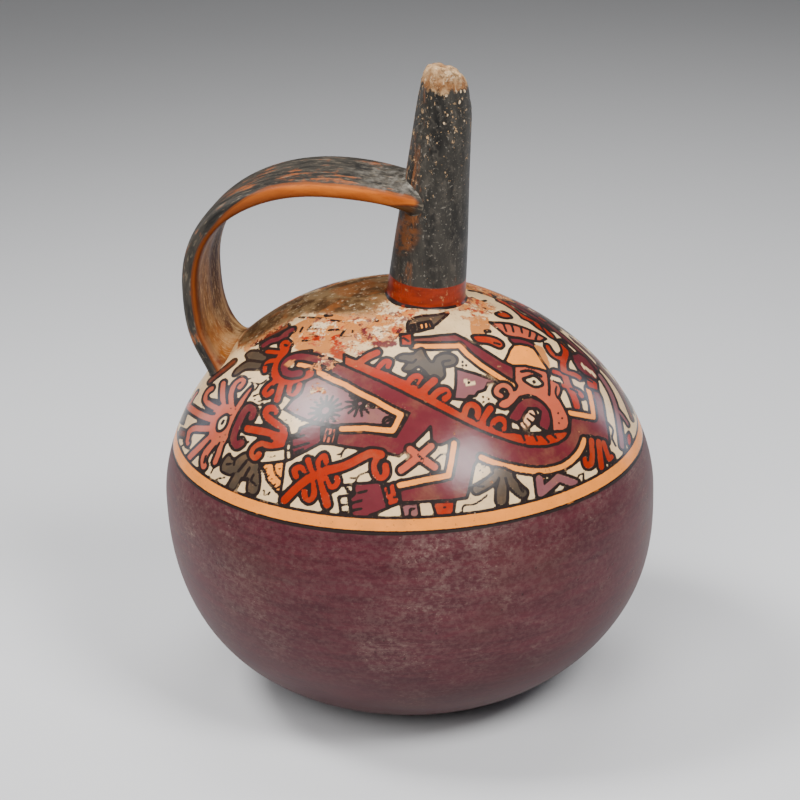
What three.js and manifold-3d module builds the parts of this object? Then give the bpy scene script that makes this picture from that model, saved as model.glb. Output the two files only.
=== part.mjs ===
// Strap-handled jar: a hand-built globular vessel with one leaning spout and a flat strap handle.
// Millimetres, +Z up, origin at the centre of the flat foot. The spout, the handle and the jar's axis
// lie in the XZ plane, with the handle on the -X side. Each separately formed piece of clay is one
// mesh, and a thin line of joint slip is left open between a piece and the one that it is luted to.
import * as THREE from 'three';
import { mergeVertices } from 'three/addons/utils/BufferGeometryUtils.js';
import Module from 'manifold-3d';

const wasm = await Module();
wasm.setup();

// Body: a superellipse of revolution, fuller below the belly than above it
const bellyRadius = 75;
const bellyHeight = 64;
const domeRise = 63.2;
const domeFullness = 1.84;
const bowlFullness = 2.4;
const footRadius = 24;
const wallThickness = 5;
const floorThickness = 7;

// Joints in the body: the bevelled edge of the base pad, and the coil that closes the seam
const padRadius = 40;
const padBevel = 5;
const seamRise = 17.5;
const seamHeight = bellyHeight + seamRise;
const seamWidth = 5.6;
const seamTip = 2.4;
const slipGap = 0.3;

// Spout: a tapered tube, set off the axis and leaning away from the handle
const spoutOffset = 7.3;
const spoutLean = THREE.MathUtils.degToRad(7);
const spoutLength = 69;
const spoutFootRadius = 12.2;
const spoutLipRadius = 7.6;
const boreFootRadius = 8.8;
const boreLipRadius = 5;
const spoutTail = 2;
const lipRounding = 2.4;
const mouthDepth = 4;
const breakSlope = THREE.MathUtils.degToRad(42);
const breakStart = 0.4;
const breakSoftness = 0.55;
const breakDepth = 16;
const spoutClayWidth = 1.8;
const spoutClayHeight = 3;

// Handle: a strap that rises from the spout, arches over and lands on the shoulder
const gripDistance = 29;
const gripRise = THREE.MathUtils.degToRad(20);
const handleReach = 62.6;
const handleReachRise = 1;
const handleArch = 30;
const handleGripPull = 41;
const handleDrop = 14;
const landingRadius = 55;
const landingSlope = THREE.MathUtils.degToRad(58);
const landingPull = 14;
const strapThickness = 5.6;
const strapWidthAtSpout = 19;
const strapSpread = 35;
const strapWidthAtArch = 28;
const strapWidthAtShoulder = 30;
const strapFullness = 3;
const strapHollow = 0.9;
const handleClayWidth = 3.2;
const handleClayReach = 8;
const clayFeather = 0.7;

// Mesh fineness
const roundSteps = 60;
const spoutSteps = 36;
const strapSteps = 32;
const strapSectionSteps = 20;

// Geometry and solids

function solidOf(geometry) {
  const bare = geometry.clone();
  bare.deleteAttribute('normal');
  bare.deleteAttribute('uv');
  const merged = mergeVertices(bare, 1e-4);
  return new wasm.Manifold(new wasm.Mesh({
    numProp: 3,
    vertProperties: merged.attributes.position.array,
    triVerts: new Uint32Array(merged.index.array),
  }));
}

function geometryOf(solid) {
  const mesh = solid.getMesh();
  const geometry = new THREE.BufferGeometry();
  geometry.setAttribute('position', new THREE.BufferAttribute(mesh.vertProperties, 3));
  geometry.setIndex(new THREE.BufferAttribute(mesh.triVerts, 1));
  geometry.computeVertexNormals();
  return geometry;
}

// A solid of revolution about Z from [radius, height] pairs that run anticlockwise round the section.
function revolve(section, steps) {
  const points = section.map(([radius, height]) => new THREE.Vector2(radius, height));
  return new THREE.LatheGeometry(points, steps).rotateX(Math.PI / 2);
}

// A closed tube through rings that all have the same number of points, capped by a fan at each end.
function loft(rings) {
  const count = rings[0].length;
  const centreOf = (ring) => ring.reduce((sum, p) => sum.add(p), new THREE.Vector3()).divideScalar(count);
  const points = [...rings.flat(), centreOf(rings[0]), centreOf(rings.at(-1))];
  const firstCentre = rings.length * count;
  const lastRing = (rings.length - 1) * count;
  const faces = [];
  for (let j = 0; j < count; j++) {
    const next = (j + 1) % count;
    for (let i = 0; i < rings.length - 1; i++) {
      const a = i * count;
      const b = a + count;
      faces.push(a + j, b + j, b + next, a + j, b + next, a + next);
    }
    faces.push(firstCentre, j, next);
    faces.push(firstCentre + 1, lastRing + next, lastRing + j);
  }
  return new THREE.BufferGeometry().setFromPoints(points).setIndex(faces);
}

const lerp = THREE.MathUtils.lerp;

// The jar's skins. A skin is two superellipse quarters that meet at the belly: (r/R)^n + (h/b)^n = 1.

// The bowl's superellipse would close below the foot, which cuts it off at footRadius.
const bowlDepth = bellyHeight / (1 - (footRadius / bellyRadius) ** bowlFullness) ** (1 / bowlFullness);

function makeSkin(radius, rise, depth) {
  const half = (above) => (above ? [rise, domeFullness] : [depth, bowlFullness]);
  const angleAt = (height) => {
    const [size, fullness] = half(height >= bellyHeight);
    const share = Math.min(1, Math.abs(height - bellyHeight) / size);
    return Math.sign(height - bellyHeight) * Math.asin(share ** (fullness / 2));
  };
  const pointAt = (angle) => {
    const [size, fullness] = half(angle >= 0);
    const reach = Math.max(0, Math.cos(angle)) ** (2 / fullness);
    const climb = Math.sign(angle) * size * Math.abs(Math.sin(angle)) ** (2 / fullness);
    return [radius * reach, bellyHeight + climb];
  };
  const heightAt = (r, above) => {
    const [size, fullness] = half(above);
    const climb = size * (1 - (r / radius) ** fullness) ** (1 / fullness);
    return bellyHeight + (above ? climb : -climb);
  };
  // Points along the skin from one height to another, both ends included.
  const run = (from, to, steps) => Array.from({ length: steps + 1 }, (_, i) =>
    pointAt(lerp(angleAt(from), angleAt(to), i / steps)));
  // How far a point above the belly stands off the skin, measured along the ray from the belly's centre.
  const standOff = (point) => {
    const climb = point.z - bellyHeight;
    const across = Math.hypot(point.x, point.y);
    const size = ((across / radius) ** domeFullness + (climb / rise) ** domeFullness) ** (1 / domeFullness);
    return Math.hypot(across, climb) * (1 - 1 / size);
  };
  return { heightAt, run, standOff, top: bellyHeight + rise, bottom: bellyHeight - depth };
}

const outside = makeSkin(bellyRadius, domeRise, bowlDepth);
const inside = makeSkin(bellyRadius - wallThickness, domeRise - wallThickness, bellyHeight - floorThickness);

// Body

// A round pad with a flat foot, slightly dished inside, whose edge is bevelled for the wall to sit on.
function basePad() {
  const edge = outside.heightAt(padRadius, false);
  const dishRadius = padRadius - padBevel;
  return revolve([
    [0, 0],
    ...outside.run(0, edge, 3),
    ...inside.run(inside.heightAt(dishRadius, false), inside.bottom, 4),
  ], roundSteps);
}

// The drawn-up wall of the bowl, from the pad's bevel to the lower lip of the seam groove.
function bowlWall() {
  const outerStart = outside.heightAt(padRadius + slipGap, false);
  const innerStart = inside.heightAt(padRadius - padBevel + slipGap, false);
  const outerEnd = seamHeight - seamWidth / 2 - slipGap;
  const innerEnd = seamHeight - seamTip / 2 - slipGap;
  const section = [...outside.run(outerStart, outerEnd, 12), ...inside.run(innerEnd, innerStart, 9)];
  return revolve([...section, section[0]], roundSteps);
}

// A coil pressed into the groove between bowl and dome and dressed flush with both skins.
function seamCoil() {
  const section = [
    ...outside.run(seamHeight - seamWidth / 2, seamHeight + seamWidth / 2, 2),
    ...inside.run(seamHeight + seamTip / 2, seamHeight - seamTip / 2, 1),
  ];
  return revolve([...section, section[0]], roundSteps);
}

// The shoulder, drawn in over the bowl, with a round hole for the spout.
function shoulderDome() {
  const outerStart = seamHeight + seamWidth / 2 + slipGap;
  const innerStart = seamHeight + seamTip / 2 + slipGap;
  const section = [...outside.run(outerStart, outside.top, 12), ...inside.run(inside.top, innerStart, 8)];
  const whole = solidOf(revolve([...section, section[0]], roundSteps));
  const holeRadius = spoutFootRadius + slipGap;
  const hole = solidOf(revolve([
    [0, -bellyHeight / 2],
    [holeRadius, -bellyHeight / 2],
    [holeRadius, bellyHeight / 2],
    [0, bellyHeight / 2],
  ], spoutSteps));
  return geometryOf(whole.subtract(hole.transform(spoutFrame.elements)));
}

// The filled body, grown by the joint gap, that a piece seated on the jar is cut by.
function bodyCutter() {
  const grown = makeSkin(bellyRadius + slipGap, domeRise + slipGap, bowlDepth);
  return solidOf(revolve([[0, 0], ...grown.run(0, grown.top, 40)], roundSteps));
}

// Spout

const spoutFoot = new THREE.Vector3(spoutOffset, 0, outside.heightAt(spoutOffset, true));
const spoutFrame = new THREE.Matrix4().makeRotationY(spoutLean).setPosition(spoutFoot);
const spoutRadiusAt = (distance) => lerp(spoutFootRadius, spoutLipRadius, Math.max(0, distance) / spoutLength);

// The tapered tube, tail down through the hole. Its worn lip rounds over outside and slopes into the
// mouth, and one side of it is broken away.
function spoutTube() {
  const tail = -(wallThickness + spoutTail);
  const lipThickness = spoutLipRadius - boreLipRadius;
  const lipRound = Array.from({ length: 9 }, (_, i) => {
    const angle = (Math.PI * i) / 8;
    const depth = angle < Math.PI / 2 ? lipRounding : mouthDepth;
    const radius = boreLipRadius + (lipThickness * (1 + Math.cos(angle))) / 2;
    return [radius, spoutLength - depth * (1 - Math.sin(angle))];
  });
  const heights = [0, 0.3, 0.55, 0.76, 0.84, 0.91].map((share) => share * spoutLength);
  const section = [
    [spoutFootRadius, tail],
    ...heights.map((height) => [spoutRadiusAt(height), height]),
    ...lipRound,
    ...heights.toReversed().map((height) => [lerp(boreFootRadius, boreLipRadius, height / spoutLength), height]),
    [boreFootRadius, tail],
  ];
  const tube = revolve([...section, section[0]], spoutSteps);
  return breakLip(tube);
}

// Lowers the tube's top on the +X side, where the lip is broken along a slope that starts just past the
// axis. The drop fades out over breakDepth below the lip.
function breakLip(tube) {
  const position = tube.getAttribute('position');
  for (let i = 0; i < position.count; i++) {
    const worn = THREE.MathUtils.smoothstep(position.getZ(i), spoutLength - breakDepth, spoutLength);
    const beyond = position.getX(i) - breakStart;
    const drop = (Math.tan(breakSlope) * (beyond + Math.hypot(beyond, 2 * breakSoftness))) / 2;
    position.setZ(i, position.getZ(i) - worn * drop);
  }
  return tube;
}

// A fillet of soft clay pressed round the spout's foot: a hollow-faced ring, draped over the dome.
function spoutFootClay() {
  const innerRadius = spoutFootRadius + slipGap;
  const face = Array.from({ length: 6 }, (_, i) => {
    const angle = ((Math.PI / 2) * i) / 5;
    return [
      innerRadius + clayFeather + spoutClayWidth * (1 - Math.sin(angle)),
      clayFeather + spoutClayHeight * (1 - Math.cos(angle)),
    ];
  });
  const section = [[innerRadius, -clayFeather], [face[0][0], -clayFeather], ...face, [innerRadius, face.at(-1)[1]]];
  const ring = revolve([...section, section[0]], spoutSteps);
  const position = ring.getAttribute('position');
  const inJar = new THREE.Vector3();
  for (let i = 0; i < position.count; i++) {
    inJar.set(position.getX(i), position.getY(i), 0).applyMatrix4(spoutFrame);
    const drop = outside.heightAt(Math.hypot(inJar.x, inJar.y), true) - inJar.z;
    position.setZ(i, position.getZ(i) + drop);
  }
  const body = bodyCutter().transform(spoutFrame.clone().invert().elements);
  return geometryOf(solidOf(ring).subtract(body).subtract(spoutCutter()));
}

// The spout as a filled cone grown by the joint gap, in the spout's own frame.
function spoutCutter() {
  const below = -bellyHeight / 2;
  return solidOf(revolve([
    [0, below],
    [spoutFootRadius + slipGap, below],
    [spoutFootRadius + slipGap, 0],
    [spoutLipRadius + slipGap, spoutLength],
    [0, spoutLength],
  ], spoutSteps));
}

// Handle

// The strap's middle line: up out of the spout, over the arch to its outermost point, then down and in.
function handleLine() {
  const grip = new THREE.Vector3(0, 0, gripDistance).applyMatrix4(spoutFrame);
  const start = new THREE.Vector2(grip.x, grip.z);
  const lift = new THREE.Vector2(-Math.cos(gripRise), Math.sin(gripRise));
  const reach = new THREE.Vector2(-handleReach, outside.top + handleReachRise);
  const landing = new THREE.Vector2(-landingRadius, outside.heightAt(landingRadius, true));
  const inward = new THREE.Vector2(Math.cos(landingSlope), -Math.sin(landingSlope));
  const end = landing.clone().addScaledVector(inward, wallThickness);
  const line = new THREE.CurvePath();
  line.add(new THREE.CubicBezierCurve(
    start,
    start.clone().addScaledVector(lift, handleGripPull),
    new THREE.Vector2(reach.x, reach.y + handleArch),
    reach,
  ));
  line.add(new THREE.CubicBezierCurve(
    reach,
    new THREE.Vector2(reach.x, reach.y - handleDrop),
    end.clone().addScaledVector(inward, -landingPull),
    end,
  ));
  return line;
}

const strapLine = handleLine();

// The strap spreads quickly out of the spout, then slowly down to the shoulder.
function strapWidthAt(share) {
  const spread = strapSpread / strapLine.getLength();
  return share < spread
    ? lerp(strapWidthAtSpout, strapWidthAtArch, 1 - (1 - share / spread) ** 2)
    : lerp(strapWidthAtArch, strapWidthAtShoulder, (share - spread) / (1 - spread));
}

// One section of the strap: a superellipse across the line, hollowed along its underside, and grown
// outwards at each point by what growAt gives for that point of the bare strap.
function strapRing(share, growAt) {
  const centre = strapLine.getPointAt(share);
  const along = strapLine.getTangentAt(share);
  const rounded = (x) => Math.sign(x) * Math.abs(x) ** (2 / strapFullness);
  const sectionPoint = (angle, grow) => {
    const across = rounded(Math.cos(angle));
    const underside = Math.sin(angle) < 0 ? strapHollow * (1 - across ** 2) : 0;
    const out = (strapThickness / 2 + grow) * rounded(Math.sin(angle)) + underside;
    const side = (strapWidthAt(share) / 2 + grow) * across;
    return new THREE.Vector3(centre.x + along.y * out, side, centre.y - along.x * out);
  };
  return Array.from({ length: strapSectionSteps }, (_, i) => {
    const angle = (2 * Math.PI * i) / strapSectionSteps;
    return sectionPoint(angle, growAt(sectionPoint(angle, 0), share));
  });
}

// The strap between two shares of its line.
function strapLoft(from, to, steps, growAt) {
  return loft(Array.from({ length: steps + 1 }, (_, i) => strapRing(lerp(from, to, i / steps), growAt)));
}

const spoutCutterInPlace = () => spoutCutter().transform(spoutFrame.elements);

function strapHandle() {
  const strap = solidOf(strapLoft(0, 1, strapSteps, () => 0));
  return geometryOf(strap.subtract(bodyCutter()).subtract(spoutCutterInPlace()));
}

// A collar of soft clay round one end of the strap. It thickens to a hollow fillet as it nears the wall
// that standOff measures from, and easeAt thins it again beyond the wall's face.
function handleClay(from, to, standOff, easeAt, wall) {
  const growAt = (point, share) => {
    const rest = THREE.MathUtils.clamp(standOff(point) / handleClayReach, 0, 1);
    const fillet = 1 - Math.sqrt(1 - (1 - rest) ** 2);
    return slipGap + clayFeather + handleClayWidth * fillet * easeAt(share);
  };
  const collar = solidOf(strapLoft(from, to, 14, growAt));
  const strap = solidOf(strapLoft(0, 1, strapSteps, () => slipGap));
  return geometryOf(collar.subtract(strap).subtract(wall));
}

function handleSpoutClay() {
  const seat = spoutRadiusAt(gripDistance) / strapLine.getLength();
  const end = seat + handleClayReach / strapLine.getLength();
  const toSpout = spoutFrame.clone().invert();
  const standOff = (point) => {
    const local = point.clone().applyMatrix4(toSpout);
    return Math.hypot(local.x, local.y) - spoutRadiusAt(local.z);
  };
  const easeAt = (share) => THREE.MathUtils.smoothstep(share, 0, seat);
  return handleClay(0, end, standOff, easeAt, spoutCutterInPlace());
}

function handleShoulderClay() {
  const start = 1 - (wallThickness + strapThickness + handleClayReach) / strapLine.getLength();
  return handleClay(start, 1, outside.standOff, () => 1, bodyCutter());
}

// Assembly

function fired(colour, roughness) {
  return new THREE.MeshStandardMaterial({ color: colour, roughness, metalness: 0 });
}

const purpleSlip = fired('#6b2f36', 0.45);
const orangeSlip = fired('#dd9a54', 0.5);
const creamSlip = fired('#ddc9a8', 0.5);
const blackSlip = fired('#3a3836', 0.6);
const redSlip = fired('#a83c20', 0.5);
const bareClay = fired('#a5673f', 0.8);

const jar = new THREE.Group();

function place(parent, name, geometry, material) {
  const mesh = new THREE.Mesh(geometry, material);
  mesh.name = name;
  parent.add(mesh);
}

place(jar, 'base_pad', basePad(), purpleSlip);
place(jar, 'bowl_wall', bowlWall(), purpleSlip);
place(jar, 'seam_coil', seamCoil(), orangeSlip);
place(jar, 'shoulder_dome', shoulderDome(), creamSlip);

const spout = new THREE.Group();
spout.position.copy(spoutFoot);
spout.rotation.y = spoutLean;
place(spout, 'spout_tube', spoutTube(), blackSlip);
place(spout, 'spout_foot_clay', spoutFootClay(), redSlip);
jar.add(spout);

place(jar, 'strap_handle', strapHandle(), blackSlip);
place(jar, 'handle_spout_clay', handleSpoutClay(), bareClay);
place(jar, 'handle_shoulder_clay', handleShoulderClay(), bareClay);

export default jar;
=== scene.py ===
"""Looks of the strap-handled jar: a painted, hand-built vessel with a leaning spout and a strap handle.

Lengths are millimetres until a mesh is made, which is in metres. The jar stands on z = 0 round the Z axis,
the handle is on its -X side and the spout leans towards +X. A turn round the jar is an azimuth: 0 is the -Y
side, and it grows towards +X. A run is a length up the dome from the line above the painted band.
"""

import logging
import math
from dataclasses import dataclass, field, replace
from enum import Enum

import bpy
import numpy as np
from mathutils import Matrix, Vector


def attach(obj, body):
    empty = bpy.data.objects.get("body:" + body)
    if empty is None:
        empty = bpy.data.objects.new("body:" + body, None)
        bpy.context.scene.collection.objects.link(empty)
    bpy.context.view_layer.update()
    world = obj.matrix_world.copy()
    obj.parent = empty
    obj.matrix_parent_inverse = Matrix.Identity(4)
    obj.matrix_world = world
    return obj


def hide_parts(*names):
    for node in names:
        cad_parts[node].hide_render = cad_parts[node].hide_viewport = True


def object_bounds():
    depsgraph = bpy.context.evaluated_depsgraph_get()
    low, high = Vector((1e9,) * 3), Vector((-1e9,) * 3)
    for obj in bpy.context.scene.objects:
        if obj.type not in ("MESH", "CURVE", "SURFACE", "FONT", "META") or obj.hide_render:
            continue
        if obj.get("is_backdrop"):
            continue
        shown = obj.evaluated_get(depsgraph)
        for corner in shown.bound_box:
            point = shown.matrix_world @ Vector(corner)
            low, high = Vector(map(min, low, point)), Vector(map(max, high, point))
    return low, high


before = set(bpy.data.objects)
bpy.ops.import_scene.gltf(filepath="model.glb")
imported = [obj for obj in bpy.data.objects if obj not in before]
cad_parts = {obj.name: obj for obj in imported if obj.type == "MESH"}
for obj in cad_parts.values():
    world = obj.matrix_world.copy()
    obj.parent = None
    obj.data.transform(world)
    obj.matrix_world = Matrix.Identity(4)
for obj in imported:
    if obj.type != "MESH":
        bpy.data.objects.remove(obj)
CAD_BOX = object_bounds()

LOG = logging.getLogger("jar")
MM = 0.001

Array = np.ndarray
Point = tuple[float, float, float]
Colour = tuple[float, float, float]
Socket = bpy.types.NodeSocket
Material = bpy.types.Material
Piece = bpy.types.Object


def linear(red: int, green: int, blue: int) -> Colour:
    """Turns a display colour into a shader colour.

    Args:
        red, green, blue: Display values from 0 to 255.

    Returns:
        The linear values, by the sRGB curve.
    """
    shares = np.array([red, green, blue]) / 255
    return tuple(np.where(shares <= 0.04045, shares / 12.92, ((shares + 0.055) / 1.055) ** 2.4).tolist())


def smooth(values: Array, low: float, high: float) -> Array:
    """The smoothstep from 0 at low to 1 at high, elementwise: t * t * (3 - 2 t)."""
    share = np.clip((values - low) / (high - low), 0, 1)
    return share * share * (3 - 2 * share)


def bell(values: Array, middle: float, width: float) -> Array:
    """A bell curve, elementwise: exp(-((x - middle) / width) squared)."""
    return np.exp(-(((values - middle) / width) ** 2))


def lengths(points: Array) -> Array:
    """Length along a line of points, one row each, from 0 at its start."""
    return np.concatenate([[0.0], np.cumsum(np.linalg.norm(np.diff(points, axis=0), axis=1))])


def hollow(distance: Array, reach: float) -> Array:
    """How far a quarter-round fillet stands out, from 1 at the wall to 0 at its reach.

    Args:
        distance: Distance from the wall; below zero counts as zero.
        reach: Radius of the fillet.

    Returns:
        1 - sqrt(1 - (1 - d / reach) squared), elementwise.
    """
    share = np.clip(distance / reach, 0, 1)
    return 1 - np.sqrt(1 - (1 - share) ** 2)


# Slips and clay

class Slip(Enum):
    """The clay paints on the jar, as display colours."""

    MAROON = (92, 32, 38)
    MAUVE = (118, 72, 74)
    RED = (146, 34, 8)
    SALMON = (170, 78, 54)
    BROWN = (96, 38, 24)
    ORANGE = (234, 138, 50)
    TAN = (180, 112, 56)
    PEACH = (222, 164, 118)
    GREY = (68, 57, 46)
    CREAM = (220, 186, 138)
    INK = (36, 28, 26)

    @property
    def rgb(self) -> Colour:
        """The slip's shader colour."""
        return linear(*self.value)


# Shader graphs

class Value:
    """A number in a shader graph, with the arithmetic that adds Math nodes."""

    def __init__(self, graph: "Graph", socket: Socket) -> None:
        """Wraps an output socket of the graph."""
        self.graph = graph
        self.socket = socket

    def __add__(self, other: "Number") -> "Value":
        """Sum."""
        return self.graph.math("ADD", self, other)

    def __sub__(self, other: "Number") -> "Value":
        """Difference."""
        return self.graph.math("SUBTRACT", self, other)

    def __rsub__(self, other: "Number") -> "Value":
        """Difference, the other way round."""
        return self.graph.math("SUBTRACT", other, self)

    def __mul__(self, other: "Number") -> "Value":
        """Product."""
        return self.graph.math("MULTIPLY", self, other)

    __radd__ = __add__
    __rmul__ = __mul__

    def most(self, other: "Number") -> "Value":
        """The greater of two numbers."""
        return self.graph.math("MAXIMUM", self, other)

    def step(self, low: float, high: float) -> "Value":
        """A soft step from 0 at low to 1 at high; low may be the greater, and the step then falls."""
        rising = high > low
        node = self.graph.node(
            "ShaderNodeMapRange",
            {"interpolation_type": "SMOOTHSTEP"},
            {
                "Value": self,
                "From Min": min(low, high),
                "From Max": max(low, high),
                "To Min": 0.0 if rising else 1.0,
                "To Max": 1.0 if rising else 0.0,
            },
        )
        return Value(self.graph, node.outputs["Result"])


Number = Value | float


class Graph:
    """A material's node graph, ending in one Principled shader."""

    def __init__(self, name: str) -> None:
        """Makes an empty node material of that name."""
        self.material = bpy.data.materials.new(name)
        self.material.use_nodes = True
        self.tree = self.material.node_tree
        self.tree.nodes.clear()
        coordinates = self.node("ShaderNodeTexCoord", {}, {})
        self.place = coordinates.outputs["Object"]

    def node(self, kind: str, settings: dict, sockets: dict) -> bpy.types.Node:
        """Adds a node.

        Args:
            kind: The node's type name.
            settings: Properties of the node, set first.
            sockets: Input sockets by name or number, each a link, a number or a colour.

        Returns:
            The new node.
        """
        node = self.tree.nodes.new(kind)
        for key, setting in settings.items():
            setattr(node, key, setting)
        for key, given in sockets.items():
            target = node.inputs[key]
            if isinstance(given, Value):
                self.tree.links.new(given.socket, target)
            elif isinstance(given, Socket):
                self.tree.links.new(given, target)
            elif isinstance(given, tuple) and target.type == "RGBA":
                target.default_value = (*given, 1.0)
            else:
                target.default_value = given
        return node

    def math(self, operation: str, first: Number, second: Number) -> Value:
        """Adds a Math node of that operation on two numbers."""
        node = self.node("ShaderNodeMath", {"operation": operation}, {0: first, 1: second})
        return Value(self, node.outputs["Value"])

    def apart(self, value: Value, middle: float) -> Value:
        """How far a number is from a middle, whichever way."""
        return self.math("ABSOLUTE", value - middle, 0.0)

    def mix(self, factor: Number, first: object, second: object) -> Socket:
        """Mixes two colours: the first at factor 0, the second at factor 1."""
        settings = {"data_type": "RGBA", "clamp_factor": True}
        node = self.node("ShaderNodeMix", settings, {0: factor, 6: first, 7: second})
        return node.outputs[2]

    def tint(self, colour: object, factor: Number) -> Socket:
        """Brightens or darkens a colour by a factor that may change over the surface."""
        grey = self.node("ShaderNodeCombineColor", {}, {0: factor, 1: factor, 2: factor})
        settings = {"data_type": "RGBA", "blend_type": "MULTIPLY"}
        node = self.node("ShaderNodeMix", settings, {0: 1.0, 6: colour, 7: grey.outputs["Color"]})
        return node.outputs[2]

    def shifted(self, stretch: tuple, shift: float) -> Socket:
        """Object coordinates, stretched along each axis and shifted away from other patterns."""
        settings = {"vector_type": "POINT"}
        sockets = {"Vector": self.place, "Scale": stretch, "Location": (shift, shift * 0.7, shift * 0.3)}
        return self.node("ShaderNodeMapping", settings, sockets).outputs["Vector"]

    def noise(
        self,
        size: float,
        detail: float = 3.0,
        rough: float = 0.55,
        stretch: tuple = (1.0, 1.0, 1.0),
        shift: float = 0.0,
        warp: float = 0.0,
    ) -> Value:
        """Cloudy noise from 0 to 1.

        Args:
            size: Size of its largest patches, in millimetres.
            detail: Octaves of finer noise.
            rough: Strength of each octave by the one before.
            stretch: Factors on the coordinates; a larger factor makes patches shorter that way.
            shift: Offset of the coordinates, to keep patterns apart.
            warp: Distortion of the patches.

        Returns:
            The noise's value.
        """
        sockets = {
            "Vector": self.shifted(stretch, shift),
            "Scale": 1 / (size * MM),
            "Detail": detail,
            "Roughness": rough,
            "Distortion": warp,
        }
        return Value(self, self.node("ShaderNodeTexNoise", {}, sockets).outputs["Fac"])

    def specks(self, size: float, shift: float = 0.0, stretch: tuple = (1.0, 1.0, 1.0)) -> Value:
        """Distance to the nearest of scattered points, in cells of that size in millimetres."""
        sockets = {"Vector": self.shifted(stretch, shift), "Scale": 1 / (size * MM)}
        return Value(self, self.node("ShaderNodeTexVoronoi", {}, sockets).outputs["Distance"])

    def axis(self, name: str) -> Value:
        """One of the Object coordinates, X, Y or Z, in millimetres."""
        node = self.node("ShaderNodeSeparateXYZ", {}, {"Vector": self.place})
        return Value(self, node.outputs[name]) * (1 / MM)

    def attribute(self, name: str) -> Value:
        """A number that the mesh holds at each vertex."""
        node = self.node("ShaderNodeAttribute", {"attribute_name": name}, {})
        return Value(self, node.outputs["Fac"])

    def painted(self, name: str) -> Socket:
        """A colour that the mesh holds at each vertex."""
        return self.node("ShaderNodeAttribute", {"attribute_name": name}, {}).outputs["Color"]

    def near(self, spot: tuple, reach: float) -> Value:
        """A soft blot round a place: 1 at the place, falling to 0 at its reach, in millimetres."""
        centre = tuple(c * MM for c in spot)
        node = self.node("ShaderNodeVectorMath", {"operation": "DISTANCE"}, {0: self.place, 1: centre})
        return Value(self, node.outputs["Value"]).step(reach * MM, 0.0)

    def bump(self, height: Value, depth: float) -> Socket:
        """A Bump node's normal, for a height from 0 to 1 and a depth in millimetres."""
        node = self.node("ShaderNodeBump", {}, {"Strength": 1.0, "Distance": depth * MM, "Height": height})
        return node.outputs["Normal"]

    def finish(self, colour: object, roughness: Number, normal: object, gloss: float) -> Material:
        """Ends the graph in its shader.

        Args:
            colour: Base colour, a link or a colour.
            roughness: Roughness, a link or a number.
            normal: The bump's normal.
            gloss: Specular level, the same all over.

        Returns:
            The material.
        """
        sockets = {
            "Base Color": colour,
            "Roughness": roughness,
            "Normal": normal,
            "Specular IOR Level": gloss,
        }
        shader = self.node("ShaderNodeBsdfPrincipled", {}, sockets)
        self.node("ShaderNodeOutputMaterial", {}, {"Surface": shader.outputs["BSDF"]})
        return self.material


class Coat:
    """A colour built up in a shader graph, layer over layer."""

    def __init__(self, graph: Graph, colour: object) -> None:
        """Starts with a ground colour, a link or a colour."""
        self.graph = graph
        self.colour = colour

    def add(self, mask: Number, colour: object) -> "Coat":
        """Lays a colour over the coat, none of it where the mask is 0 and all where it is 1."""
        self.colour = self.graph.mix(mask, self.colour, colour)
        return self


# Meshes

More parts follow.
